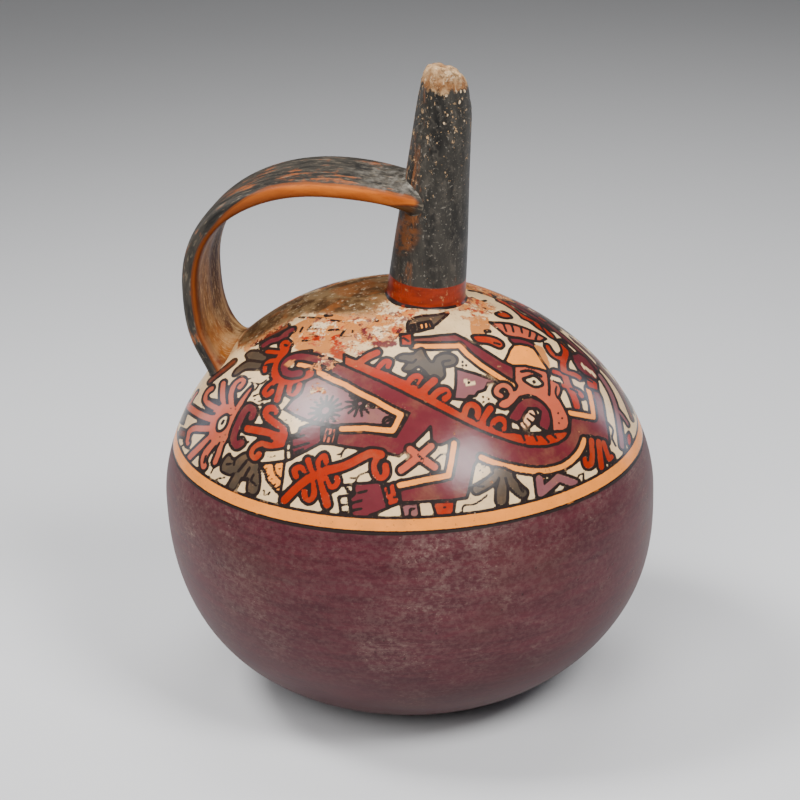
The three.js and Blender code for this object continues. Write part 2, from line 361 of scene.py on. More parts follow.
@dataclass
class Sheet:
    """A grid of points, row by row, that becomes the skin of a closed piece.

    Each row is a ring of points round the piece. Rows follow each other from one end of the skin to the
    other; the ends are closed by a fan to their middle, or the last row joins the first one again.
    """

    rows: Array
    ring: bool = False
    numbers: dict[str, Array] = field(default_factory=dict)
    colours: dict[str, Array] = field(default_factory=dict)

    def build(self, name: str, crease: float = 50.0) -> Piece:
        """Makes the mesh object, faces outward, smooth but for edges sharper than the crease.

        Args:
            name: Name of the object.
            crease: Greatest angle between faces that is still shaded smooth, in degrees.

        Returns:
            The object, linked to the scene at the origin.
        """
        points, quads, fans = self.faces()
        mesh = bpy.data.meshes.new(name)
        mesh.vertices.add(len(points))
        mesh.vertices.foreach_set("co", (points * MM).astype(np.float32).ravel())
        loops = np.concatenate([quads.ravel(), fans.ravel()]).astype(np.int32)
        sizes = np.concatenate([np.full(len(quads), 4), np.full(len(fans), 3)])
        mesh.loops.add(len(loops))
        mesh.loops.foreach_set("vertex_index", loops)
        mesh.polygons.add(len(sizes))
        mesh.polygons.foreach_set("loop_start", (np.cumsum(sizes) - sizes).astype(np.int32))
        mesh.update(calc_edges=True)
        mesh.polygons.foreach_set("use_smooth", np.ones(len(sizes), dtype=bool))
        mesh.set_sharp_from_angle(angle=math.radians(crease))
        self.hold(mesh)
        piece = bpy.data.objects.new(name, mesh)
        bpy.context.scene.collection.objects.link(piece)
        return piece

    def faces(self) -> tuple[Array, Array, Array]:
        """The points, the four-sided faces between rows and the fans at open ends, all facing outward."""
        count, width, _ = self.rows.shape
        points = self.rows.reshape(-1, 3)
        index = np.arange(count * width).reshape(count, width)
        if self.ring:
            index = np.vstack([index, index[:1]])
        ahead = np.roll(index, -1, axis=1)
        quads = np.stack([index[:-1], ahead[:-1], ahead[1:], index[1:]], axis=-1).reshape(-1, 4)
        fans = np.empty((0, 3), dtype=int)
        if not self.ring:
            points = np.vstack([points, self.rows[0].mean(axis=0), self.rows[-1].mean(axis=0)])
            first = np.full(width, count * width)
            start = np.stack([ahead[0], index[0], first], axis=-1)
            end = np.stack([index[-1], ahead[-1], first + 1], axis=-1)
            fans = np.vstack([start, end])
        corners = points[quads]
        volume = np.einsum("ij,ij->", np.cross(corners[:, 0], corners[:, 1]), corners[:, 2])
        volume += np.einsum("ij,ij->", np.cross(corners[:, 0], corners[:, 2]), corners[:, 3])
        if volume < 0:
            return points, quads[:, ::-1], fans[:, ::-1]
        return points, quads, fans

    def hold(self, mesh: bpy.types.Mesh) -> None:
        """Writes the numbers and colours of the points into the mesh; a fan's middle takes the mean."""
        count = self.rows.shape[0] * self.rows.shape[1]
        extra = len(mesh.vertices) - count
        for key, numbers in self.numbers.items():
            layer = mesh.attributes.new(key, "FLOAT", "POINT")
            held = np.concatenate([numbers.ravel(), np.full(extra, numbers.mean())])
            layer.data.foreach_set("value", held.astype(np.float32))
        for key, colours in self.colours.items():
            layer = mesh.attributes.new(key, "FLOAT_COLOR", "POINT")
            held = np.ones((count + extra, 4), dtype=np.float32)
            held[:count, :3] = colours.reshape(-1, 3)
            layer.data.foreach_set("color", held.ravel())


def place(piece: Piece, material: Material, slot: str, *nodes: str) -> None:
    """Dresses a piece and puts it in the frame.

    Args:
        piece: The new piece.
        material: Its finish.
        slot: Not used.
        nodes: The CAD nodes that the piece stands for.
    """
    piece.data.materials.append(material)
    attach(piece, "root")
    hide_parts(*nodes)
    LOG.info("%s: %d faces in place of %s", piece.name, len(piece.data.polygons), ", ".join(nodes))


# Shape of the body

@dataclass(frozen=True)
class Skin:
    """The jar's outer skin: a dome over a bowl, each with a superellipse for its outline.

    With r the distance from the axis and h the height above or below the belly line, (r / belly radius) to
    the power n plus (h / rise) to the power n is one, n being the fullness.
    """

    belly_radius: float = 75.0
    belly_height: float = 64.0
    dome_rise: float = 63.2
    dome_fullness: float = 1.84
    bowl_fullness: float = 2.4
    foot_radius: float = 24.0
    wall: float = 5.0
    floor: float = 7.0
    line_height: float = 83.6
    meridian_steps: int = 4000
    sight_from: float = -1.4
    sight_to: float = 0.6
    sight_steps: int = 1001

    @property
    def bowl_depth(self) -> float:
        """How deep the bowl's superellipse would reach below the belly line."""
        share = 1 - (self.foot_radius / self.belly_radius) ** self.bowl_fullness
        return self.belly_height / share ** (1 / self.bowl_fullness)

    def dome_height(self, radius: Array, inset: float = 0.0) -> Array:
        """Height of the dome, or of the skin a wall's thickness inside it, at a distance from the axis."""
        share = np.clip(radius / (self.belly_radius - inset), 0, 1) ** self.dome_fullness
        return self.belly_height + (self.dome_rise - inset) * (1 - share) ** (1 / self.dome_fullness)

    def bowl_radius(self, height: Array, inset: float = 0.0, depth: float | None = None) -> Array:
        """Radius of the bowl, or of the skin inside it, at a height below the belly line."""
        share = np.clip((self.belly_height - height) / (depth or self.bowl_depth), 0, 1)
        return (self.belly_radius - inset) * (1 - share**self.bowl_fullness) ** (1 / self.bowl_fullness)

    def dome_radius(self, height: Array, inset: float = 0.0) -> Array:
        """Radius of the dome at a height above the belly line."""
        share = np.clip((height - self.belly_height) / (self.dome_rise - inset), 0, 1) ** self.dome_fullness
        return (self.belly_radius - inset) * (1 - share) ** (1 / self.dome_fullness)

    def meridian(self) -> tuple[Array, Array]:
        """Radius of the dome and the length up it from the painted line, from the belly to the top."""
        turn = np.linspace(0, math.pi / 2, self.meridian_steps)
        radius = self.belly_radius * np.cos(turn) ** (2 / self.dome_fullness)
        height = self.belly_height + self.dome_rise * np.sin(turn) ** (2 / self.dome_fullness)
        length = lengths(np.stack([radius, height], axis=-1))
        return radius, length - np.interp(self.line_height, height, length)

    def run_at(self, radius: Array) -> Array:
        """Length up the dome from the painted line, at a distance from the axis."""
        radii, runs = self.meridian()
        return np.interp(radius, radii[::-1], runs[::-1])

    def radius_at(self, run: Array) -> Array:
        """Distance from the axis, at a length up the dome from the painted line."""
        radii, runs = self.meridian()
        return np.interp(run, runs, radii)

    def stand_off(self, points: Array) -> Array:
        """Distance of points from the dome, along the line to the middle of the belly."""
        ray = points - np.array([0, 0, self.belly_height])
        side = (np.hypot(ray[..., 0], ray[..., 1]) / self.belly_radius) ** self.dome_fullness
        rise = (np.abs(ray[..., 2]) / self.dome_rise) ** self.dome_fullness
        return np.linalg.norm(ray, axis=-1) * (1 - (side + rise) ** (-1 / self.dome_fullness))

    def met(self, eye: Array, rays: Array) -> Array:
        """Where sight lines first meet the dome.

        Each line is followed in even steps, for some belly radii before and beyond the jar's middle. Its
        crossing lies between two steps, in the share of their distances from the dome. A line that misses
        the dome counts where it passes nearest.

        Args:
            eye: The place that all lines start from.
            rays: Unit vectors along the lines, one row each.

        Returns:
            A point for each line.
        """
        far = np.linalg.norm(eye - np.array([0, 0, self.belly_height]))
        steps = far + self.belly_radius * np.linspace(self.sight_from, self.sight_to, self.sight_steps)
        points = eye + rays[:, None] * steps[:, None]
        gap = self.stand_off(points)
        inside = gap < 0
        first = np.where(inside.any(axis=1), inside.argmax(axis=1), gap.argmin(axis=1))
        line = np.arange(len(rays))
        before = first - 1
        start = gap[line, before]
        end = gap[line, first]
        share = np.where(end < 0, start / (start - end), 1.0)[:, None]
        return points[line, before] * (1 - share) + points[line, first] * share

    def dome_normal(self, points: Array) -> Array:
        """Unit normal of the dome below points, from the gradient of its equation."""
        power = self.dome_fullness - 1
        reach = np.maximum(np.hypot(points[..., 0], points[..., 1]), 1e-6)
        side = (reach / self.belly_radius) ** power / self.belly_radius
        rise = (np.maximum(points[..., 2] - self.belly_height, 0) / self.dome_rise) ** power / self.dome_rise
        normal = np.stack([points[..., 0] / reach * side, points[..., 1] / reach * side, rise], axis=-1)
        return normal / np.linalg.norm(normal, axis=-1, keepdims=True)


@dataclass(frozen=True)
class HandShape:
    """The unevenness of a body shaped by hand.

    It has slow waves, a swell of the shoulder beside the handle and a fuller low side. The foot stays round.
    """

    wave: float = 0.3
    foot_height: float = 20.0
    swell: float = 1.8
    swell_azimuth: float = -105.0
    swell_height: float = 106.0
    swell_spread: float = 24.0
    full: float = 0.8
    full_azimuth: float = 75.0
    full_height: float = 38.0
    full_spread: float = 20.0

    def offset(self, azimuth: Array, height: Array) -> Array:
        """How far the skin stands off its outline.

        Args:
            azimuth: Turn round the jar, in degrees.
            height: Height above the floor.

        Returns:
            The sum of three waves round the jar, plus the two fuller sides.
        """
        turn = np.radians(azimuth)
        slow = np.sin(2 * turn + 0.6)
        quicker = 0.7 * np.sin(3 * turn + height / 31)
        quickest = 0.5 * np.sin(5 * turn - height / 17)
        waves = self.wave * (slow + quicker + quickest)
        beside = 0.5 + 0.5 * np.cos(np.radians(azimuth - self.swell_azimuth))
        swell = self.swell * beside**5 * bell(height, self.swell_height, self.swell_spread)
        facing = 0.5 + 0.5 * np.cos(np.radians(azimuth - self.full_azimuth))
        full = self.full * facing**4 * bell(height, self.full_height, self.full_spread)
        return smooth(height, 0, self.foot_height) * (waves + swell + full)


def around(azimuth: Array, radius: Array, height: Array) -> Array:
    """Points at azimuths in degrees, distances from the axis and heights."""
    turn = np.radians(azimuth)
    return np.stack(np.broadcast_arrays(radius * np.sin(turn), -radius * np.cos(turn), height), axis=-1)


# The photo's view

@dataclass(frozen=True)
class PhotoCamera:
    """The camera at the photo's viewing angle, turned so that the jar stands where it does in the picture.

    The focal length, and how far the pivot lies aside of and below the picture's middle, are picture pixels.
    """

    azimuth: float = 14.0
    elevation: float = 23.61
    distance: float = 1000.0
    pivot: Point = (0.0, 0.0, 65.0)
    focal: float = 3250.1
    aside: float = 7.04
    below: float = 79.12
    roll: float = -1.568
    picture: float = 800.0
    sensor: float = 36.0
    clip_near: float = 0.05
    clip_far: float = 20.0

    @property
    def pixel(self) -> float:
        """Millimetres of the jar that one picture pixel shows."""
        return self.distance / self.focal

    @property
    def eye(self) -> Vector:
        """Where the camera stands."""
        return Vector(self.pivot) + self.toward(0, self.elevation) * self.distance

    @property
    def aim(self) -> Matrix:
        """The camera's turn: it looks at the pivot, then pans, tilts and rolls."""
        look = (Vector(self.pivot) - self.eye).to_track_quat("-Z", "Y").to_matrix()
        pan = Matrix.Rotation(math.atan(self.aside / self.focal), 3, "Y")
        tilt = Matrix.Rotation(math.atan(self.below / self.focal), 3, "X")
        return look @ pan @ tilt @ Matrix.Rotation(math.radians(self.roll), 3, "Z")

    def toward(self, azimuth: float, elevation: float) -> Vector:
        """Unit vector from the jar at a turn from the camera's side and a height over the horizon."""
        turn = math.radians(self.azimuth + azimuth)
        rise = math.radians(elevation)
        return Vector((math.sin(turn) * math.cos(rise), -math.cos(turn) * math.cos(rise), math.sin(rise)))

    def sight_lines(self, points: Array) -> Array:
        """Unit vectors from the eye through picture points, counted in pixels from the left and the top."""
        right = points[:, 0] - self.picture / 2
        up = self.picture / 2 - points[:, 1]
        rays = np.stack([right, up, np.full_like(right, -self.focal)], axis=-1) @ np.array(self.aim).T
        return rays / np.linalg.norm(rays, axis=-1, keepdims=True)

    def build(self) -> Piece:
        """Makes the camera and has the scene look through it."""
        data = bpy.data.cameras.new("photo_camera")
        data.sensor_width = self.sensor
        data.lens = self.focal / self.picture * self.sensor
        data.clip_start = self.clip_near
        data.clip_end = self.clip_far
        item = bpy.data.objects.new("photo_camera", data)
        item.matrix_world = Matrix.Translation(self.eye * MM) @ self.aim.to_4x4()
        bpy.context.scene.collection.objects.link(item)
        bpy.context.scene.camera = item
        return item


PHOTO = PhotoCamera()


# The painted frieze

# How much a step towards the viewer counts beside one across the picture, in the width of brush strokes.
DEPTH_SHARE = 0.4


def path(pairs: str) -> Array:
    """Picture points from pairs such as "214,411 222,405", in pixels from the left and the top."""
    return np.array([pair.split(",") for pair in pairs.split()], dtype=float)


def on_dome(skin: Skin, points: Array) -> Array:
    """Carries picture points along the photo's sight lines to the dome.

    Args:
        skin: The jar's skin.
        points: Places on the picture, in pixels from the left and the top.

    Returns:
        The azimuth from the camera's side, in degrees, and the run up the dome of each point.
    """
    met = skin.met(np.array(PHOTO.eye), PHOTO.sight_lines(points))
    azimuth = np.degrees(np.arctan2(met[:, 0], -met[:, 1])) - PHOTO.azimuth
    run = skin.run_at(np.hypot(met[:, 0], met[:, 1]))
    return np.stack([(azimuth + 180) % 360 - 180, run], axis=-1)


def curved(points: Array, closed: bool, steps: int = 6) -> Array:
    """A smooth line through points, by the Catmull-Rom spline.

    Args:
        points: The points in order, one row each.
        closed: Whether the line returns to its first point.
        steps: Samples from each point to the next.

    Returns:
        The samples in order; an open line ends on its last point.
    """
    before = np.roll(points, 1, axis=0)
    after = np.roll(points, -1, axis=0)
    later = np.roll(points, -2, axis=0)
    if not closed:
        before[0] = points[0]
        after[-1] = points[-1]
        later[-1] = points[-1]
        later[-2:] = points[-1]
    share = (np.arange(steps) / steps)[:, None, None]
    bend = 2 * before - 5 * points + 4 * after - later
    twist = 3 * points - before - 3 * after + later
    samples = points + 0.5 * share * ((after - before) + share * (bend + share * twist))
    samples = samples.transpose(1, 0, 2)
    if not closed:
        return np.vstack([samples[:-1].reshape(-1, 2), points[-1:]])
    return samples.reshape(-1, 2)


@dataclass(frozen=True)
class Spots:
    """Places on the shoulder: azimuth in degrees, length up the dome, distance from the axis and lean.

    The lean is how far the dome's skin leans inward from upright there, in radians.
    """

    azimuth: Array
    run: Array
    radius: Array
    lean: Array

    def seen(self, steps: Array) -> Array:
        """Short steps on the dome as the viewer sees them.

        Args:
            steps: Steps from each spot, in degrees round the jar and in millimetres up the dome.

        Returns:
            The steps to the right, up the picture and, at a smaller share, towards the viewer.
        """
        turn = np.radians(self.azimuth)[:, None]
        lean = self.lean[:, None]
        around_by = np.radians(steps[..., 0]) * self.radius[:, None]
        inward = np.sin(lean) * steps[..., 1]
        right = np.cos(turn) * around_by - np.sin(turn) * inward
        toward = -np.sin(turn) * around_by - np.cos(turn) * inward
        up = np.cos(lean) * steps[..., 1]
        view = math.radians(PHOTO.elevation)
        picture_up = up * math.cos(view) - toward * math.sin(view)
        depth = toward * math.cos(view) + up * math.sin(view)
        return np.stack([right, picture_up, depth * DEPTH_SHARE], axis=-1)

    def apart(self, points: Array, closed: bool) -> Array:
        """Distance in millimetres from each spot to a line through points, as the viewer sees it.

        Args:
            points: Azimuth and run of the line's points.
            closed: Whether the line returns to its first point.

        Returns:
            The least distance to the line's pieces, each measured on the dome at the spot.
        """
        flat = self.seen(points[None] - np.stack([self.azimuth, self.run], axis=-1)[:, None])
        start = flat if closed else flat[:, :-1]
        along = (np.roll(flat, -1, axis=1) if closed else flat[:, 1:]) - start
        length = np.maximum(np.einsum("ijk,ijk->ij", along, along), 1e-9)
        share = np.clip(-np.einsum("ijk,ijk->ij", start, along) / length, 0, 1)
        nearest = start + along * share[..., None]
        return np.sqrt(np.einsum("ijk,ijk->ij", nearest, nearest).min(axis=1))

    def within(self, points: Array) -> Array:
        """Whether each spot is inside a closed outline, by counting the sides to its right."""
        start = points[None]
        end = np.roll(points, -1, axis=0)[None]
        crosses = (start[..., 1] > self.run[:, None]) != (end[..., 1] > self.run[:, None])
        rise = np.where(crosses, end[..., 1] - start[..., 1], 1.0)
        cut = start[..., 0] + (self.run[:, None] - start[..., 1]) * (end[..., 0] - start[..., 0]) / rise
        return (crosses & (cut > self.azimuth[:, None])).sum(axis=1) % 2 == 1


@dataclass(frozen=True)
class Stroke:
    """A brush stroke of even width, curved or with sharp corners.

    Its points are places on the picture, and azimuths and runs once it is laid on the dome. Its half width
    is in millimetres.
    """

    half: float
    points: Array
    soft: bool = True

    def depth(self, spots: Spots) -> Array:
        """Distance from each spot to the stroke's edge, below zero in the stroke."""
        line = np.vstack([self.points, self.points]) if len(self.points) == 1 else self.points
        if self.soft and len(line) > 2:
            line = curved(line, False)
        return spots.apart(line, False) - self.half


@dataclass(frozen=True)
class Patch:
    """A filled outline, its sides straight or in one smooth curve, with points as a stroke has them."""

    points: Array
    soft: bool = False

    def depth(self, spots: Spots) -> Array:
        """Distance from each spot to the outline, below zero inside."""
        line = curved(self.points, True) if self.soft else self.points
        return spots.apart(line, True) * np.where(spots.within(line), -1, 1)


@dataclass(frozen=True)
class Motif:
    """Shapes painted as one in a slip, outlined in ink or not, or in plain ink where no slip is named."""

    slip: Slip | None
    shapes: tuple[Stroke | Patch, ...]
    lined: bool = True

    def laid(self, skin: Skin) -> "Motif":
        """The motif with its points carried from the picture to the dome."""
        shapes = (replace(shape, points=on_dome(skin, shape.points)) for shape in self.shapes)
        return replace(self, shapes=tuple(shapes))

    def span(self) -> tuple[Array, Array]:
        """The least and greatest azimuth and run of a laid motif's points."""
        points = np.vstack([shape.points for shape in self.shapes])
        return points.min(axis=0), points.max(axis=0)


@dataclass(frozen=True)
class Burst:
    """A ring of ink rays round a place on the picture, its radii in millimetres."""

    centre: str
    inner: float
    outer: float
    rays: int
    half: float = 0.42
    ring: float = 0.7
    first_turn: float = 0.2

    def laid(self, skin: Skin) -> Motif:
        """The rays and the small ring inside them, laid on the dome."""
        centre = on_dome(skin, path(self.centre))
        turns = np.arange(self.rays) * 2 * math.pi / self.rays + self.first_turn
        around_by = np.degrees(np.cos(turns) / skin.radius_at(centre[0, 1]))
        steps = np.stack([around_by, np.sin(turns)], axis=-1)
        rays = [Stroke(self.half, centre + step * [[self.inner], [self.outer]]) for step in steps]
        ring = centre + np.vstack([steps, steps[:1]]) * self.inner * self.ring
        return Motif(None, (*rays, Stroke(self.half, ring)))


class Drawing:
    """A part of the frieze. Its motifs are class values, named and in the order they are painted."""

    @classmethod
    def motifs(cls) -> list[Motif | Burst]:
        """The part's motifs in order."""
        return [value for value in vars(cls).values() if isinstance(value, (Motif, Burst))]


def stroke(half: float, pairs: str) -> Stroke:
    """A stroke along a path; its half width is in picture pixels, as the path is."""
    return Stroke(half * PHOTO.pixel, path(pairs))


def bar(half: float, pairs: str) -> Stroke:
    """A strip with sharp corners along a path; its half width is in picture pixels."""
    return Stroke(half * PHOTO.pixel, path(pairs), False)


def patch(pairs: str) -> Patch:
    """A straight-sided patch."""
    return Patch(path(pairs))


def blob(pairs: str) -> Patch:
    """A patch with one smooth curve for its outline."""
    return Patch(path(pairs), True)


def fill(slip: Slip, *shapes: Stroke | Patch) -> Motif:
    """An outlined motif in a slip."""
    return Motif(slip, shapes)


def bare(slip: Slip, *shapes: Stroke | Patch) -> Motif:
    """A motif in a slip without an outline."""
    return Motif(slip, shapes, False)


def ink(half: float, *marks: str) -> Motif:
    """Plain ink marks of a half width in millimetres, each a path; a path of one point is a dot."""
    return Motif(None, tuple(Stroke(half, path(mark)) for mark in marks))


class RayedCreature(Drawing):
    """The rayed creature at the left of the front, with the hook beside it."""

    creature = fill(
        Slip.SALMON,
        blob("214,411 222,405 233,404 241,411 236,424 230,437 223,447 213,445 209,437 210,425"),
        patch("233,412 239,402 248,391 253.5,386 254,390 247,401 241,413"),
        stroke(4.2, "233,408 232.5,395 236,386.5 242.5,381.5 244.5,383.5 241,388"),
        stroke(4.4, "225,408 225,385"),
        stroke(4.2, "218,409 210,404.5 207,399 209.5,393 213.5,390"),
        stroke(4.7, "214,420 203,416 194,410.5 189,404.5"),
        stroke(3.4, "192,404 195.5,398 198.5,394"),
        stroke(4.4, "212,429 203,429 195,429 190,432.5 188.5,438 188.3,443"),
        stroke(4.6, "212,437 200,447.5 189,458"),
        stroke(4.8, "213,444 206.5,452.5 203.5,460 203.8,466"),
        stroke(4, "222,443 218.5,454 215,462.5"),
    )
    ray_lines = ink(
        0.5, "228.6,388 228.6,404", "196,406 205,411.5 216,414.5", "199,421 210,424.5",
        "210,400 219,401.5 222,405", "211,441 203,450",
    )
    hook_lines = ink(
        0.4, "242,383.5 238,388 237.8,401", "193,435 190,441", "206,456 204,463", "220,443 214,454",
    )
    eye = fill(Slip.CREAM, blob("227.5,415 229.5,418.5 226.5,427 220.5,431.8 217.5,429 220,420"))
    pupil = ink(0.5, "222.8,424 224.4,421.4")
    face_dots = ink(0.32, "232,409", "236.3,410", "232.7,415.3", "226,435", "220.5,437.5", "223.7,442")
    hook = fill(Slip.MAROON, stroke(4.9, """
        252,417.5 254,411.5 250,408 245.3,412 239.5,423 235,433.5 234,440.5 237,445.5 241.5,443
    """))
    inner_lines = ink(0.42, "247,420 250,413", "238.5,439.5 241,437")
    sprigs = ink(
        0.32, "252.5,383.3 261,385 267.5,380.7", "260,385 256.5,391", "254,397 257.5,395.7",
        "259,402.3 264,407", "262.5,399.5 263.5,405", "251.5,379.5", "255.5,378", "255.7,400.2",
        "246.5,443.5 249.5,441.5", "210.5,473.5 213,469", "217,478.5 224,478",
    )
    upper_strip = fill(Slip.BROWN, stroke(3.6, "212,382.7 224,373 235.5,363.7"))
    left_block = fill(Slip.BROWN, patch("177.5,436.5 181,428 187.5,430.5 186,438.5"))
    left_tip = fill(Slip.GREY, patch("181,422 185,413 188.5,414.5 185,424.5"))
    left_sprigs = ink(
        0.36, "178,448.5 186,444", "182,449.5 184.5,455", "186.5,447.5 190,449.5", "183.5,441 186,446.5",
    )


class Leaves(Drawing):
    """The grey and maroon leaves round the rayed creature, and the orange fan."""

    upper_leaf = fill(Slip.GREY, blob("""
        234,376.5 238.5,369.5 248,363 259,361 268,362 264,370 247,371.5 238.5,377
    """))
    small_leaf = fill(Slip.GREY, blob("""
        247,357.5 250.5,353 258,352 266,355 269,358.5 265,363 257,362.5 250.5,361.5
    """))
    strip = fill(Slip.BROWN, stroke(3.6, "256,344.5 268,338 280,331.7 287,328"))
    fork = fill(
        Slip.MAROON,
        stroke(4.2, "265,347 272,342.5 281,340 287,336.5"),
        stroke(4, "281,340.5 287,334.5 293,331"),
    )
    grey_leaf = fill(
        Slip.GREY,
        blob("""
            234,459 243,453.5 251,453 258,461 259.5,469 250,477 243,480 236,474 229,475 221,470.5 222,462
            229,454
        """),
        stroke(5, "241,470 235.5,480 231.5,487"),
        stroke(6.6, "252.5,470 254,480 253,488.5"),
    )
    leaf_veins = ink(0.5, "246.5,461.5 238.5,471", "249.5,468 244.3,477.3")
    leaf_sprigs = ink(0.4, "226.5,464.3 230.5,464", "254,474.5 251.3,480 256,485.3", "235,459 234,465")
    fan = fill(Slip.ORANGE, patch("""
        260.5,463.8 285,461 283,478 280.5,495 276,491 272,486 266.8,480 266,474.5
    """))
    fan_line = ink(0.42, "274,464.5 275.3,472.5 280,478.5 283,480")
    fan_dots = ink(0.38, "267,469", "269,475", "272.3,479.3", "275.4,484", "278,487", "279.5,468.8")
    fan_sprigs = ink(
        0.36, "268,457.2", "271.5,456.7", "275,456.2", "264,490 264.7,495", "268,495 270,492.2",
    )


class RedClaw(Drawing):
    """The red claw above the rayed creature and the maroon hook in it."""

    claw = fill(
        Slip.RED,
        stroke(5.4, "286,351 281,359.5 277,368 276.5,376.5 282,381 291,381 301,377.5 310,374"),
        stroke(3.6, "284,352 282.8,346 286.5,343 290,346"),
        stroke(3.6, "283,354 275,353.5 268.5,353"),
        stroke(3.7, "278,361.5 270.5,362.5 266.3,367.5 266,372"),
        stroke(4, "276,382 268.5,388 265,393 268,395.5 272.5,392"),
        stroke(4.6, "282,385 279.7,393 277.5,400"),
        stroke(4, "291,383 289.3,391.5 293,394.5 297.5,391.5 300,385"),
    )
    claw_lines = ink(
        0.42, "267.5,366 272,366 270.5,374.5", "272.5,386.5 268.3,391.7", "294.8,387 292.5,392.5",
        "285.5,346 288.3,347",
    )
    hook = fill(Slip.MAROON, stroke(4.8, """
        300,373.5 292,374.7 286,372.5 285,366.5 290,360.5 300,357.5 314,359 330,363.5
    """))
    hook_gap = bare(Slip.TAN, blob("286,364.5 290,361 295,361.5 293,366 288,367.5"))


class RedHand(Drawing):
    """The red hand that reaches to the left below the figure."""

    hand = fill(
        Slip.RED,
        stroke(4.8, "284,430 276,423.7 269,418.5 266.3,413.5 268.5,409 273,408.7 275.5,412"),
        stroke(5, "283,436 265,432 248,429"),
        stroke(4.6, "282,444 271,445.5 261.5,444 254.5,448.5 252.3,454 255.3,457.7 259,454.5"),
        blob("276,426 284,427.5 289.5,432 288,440 283.5,447.5 273,449 268,443"),
    )
    finger_lines = ink(0.55, "263.5,425 279,431", "258.5,437.5 272,441.3")
    nail_lines = ink(0.42, "262.5,447.5 257,449.5 255,453.5", "270,413.5 273.5,413")


class FlyingFigure(Drawing):
    """The flying figure: body, orange strips, rayed panel, hand and leg."""

    body = fill(Slip.MAROON, patch("""
        332,360 345,365.5 360,372 380,381 400,391 420,401 440,411 460,421 480,430.5 500,438 515,443
        530,446.5 546,446.5 558,443.5 566,438 569.5,430 570,417 583,419 595,421 590.5,390 598.5,391.5
        602,399 605,417 609.5,444 600,440 590,436 581,436 578.5,446 571,455.5 560,463 545,467 530,466.5
        515,464.5 500,460.5 482,453.5 474,466 467,498 450,500.5 425,501.5 401,503 399,488.5 425,483
        452,478.5 457.5,442 450,441 442,445 435,445 431.5,440 430.5,427 415,443 409,448 399,456.5 385,453
        362,449.3 335.5,445 338,431.5 362,431.5 380,434 395.5,437 409,413.5 380,399 350,382.5 330,372
    """))
    panel = fill(Slip.MAUVE, patch("""
        311,376.5 322,377 345,388.5 375,404.5 395,416 389.5,427 365,425.5 341,426.5 322,423.5 309,421.5
        284.5,409.5 294,398.5 300.5,387
    """))
    left_burst = Burst("325.5,410.5", 2.2, 5.0, 15)
    right_burst = Burst("360,403.5", 1.5, 4.4, 13)
    panel_strip = fill(Slip.ORANGE, bar(4.1, """
        300,365.5 312,368 345,384.5 375,400.5 401,415 393,431 365,428.3 341.5,429
    """))
    stud = fill(Slip.MAUVE, stroke(3.8, "387.5,421.5"))
    stud_dot = ink(0.5, "387.3,421")
    panel_dots = ink(
        0.3, "277.5,417.8", "286.8,420", "291.5,418", "295.8,418.3", "291,421.8", "294,423.2", "302,421.5",
        "298,421.8",
    )
    hand = fill(Slip.MAROON, patch("""
        291.5,436 298.5,433.5 300,428 313,423.5 322,425 321.5,443 308,450 292,458.5
    """))
    nails = fill(Slip.CREAM, patch("286,437 291.5,435.5 292,459 286,461"))
    nail_lines = ink(0.36, "286.5,444.3 292,443.5", "286.5,451.3 292,450.7")
    finger_lines = ink(0.42, "293,438.5 304,435.5", "294,447.5 309,443", "294.5,453 303,449.5")
    wrist = fill(Slip.SALMON, patch("321,443.5 325,426.5 337.5,428 334.5,444.5"))
    wrist_lines = ink(0.36, "328.5,430 326,441.5", "333,430.5 330.5,443", "327.8,436 331.5,436.5")
    leg_strip = fill(Slip.ORANGE, bar(4.1, "399,485.5 425,480 448.5,475.5 454,443.5"))
    belly_strip = fill(Slip.ORANGE, stroke(4.1, """
        481,457.5 500,464.5 530,470.5 550,470 566,464.5 578,453.5 584,440
    """))


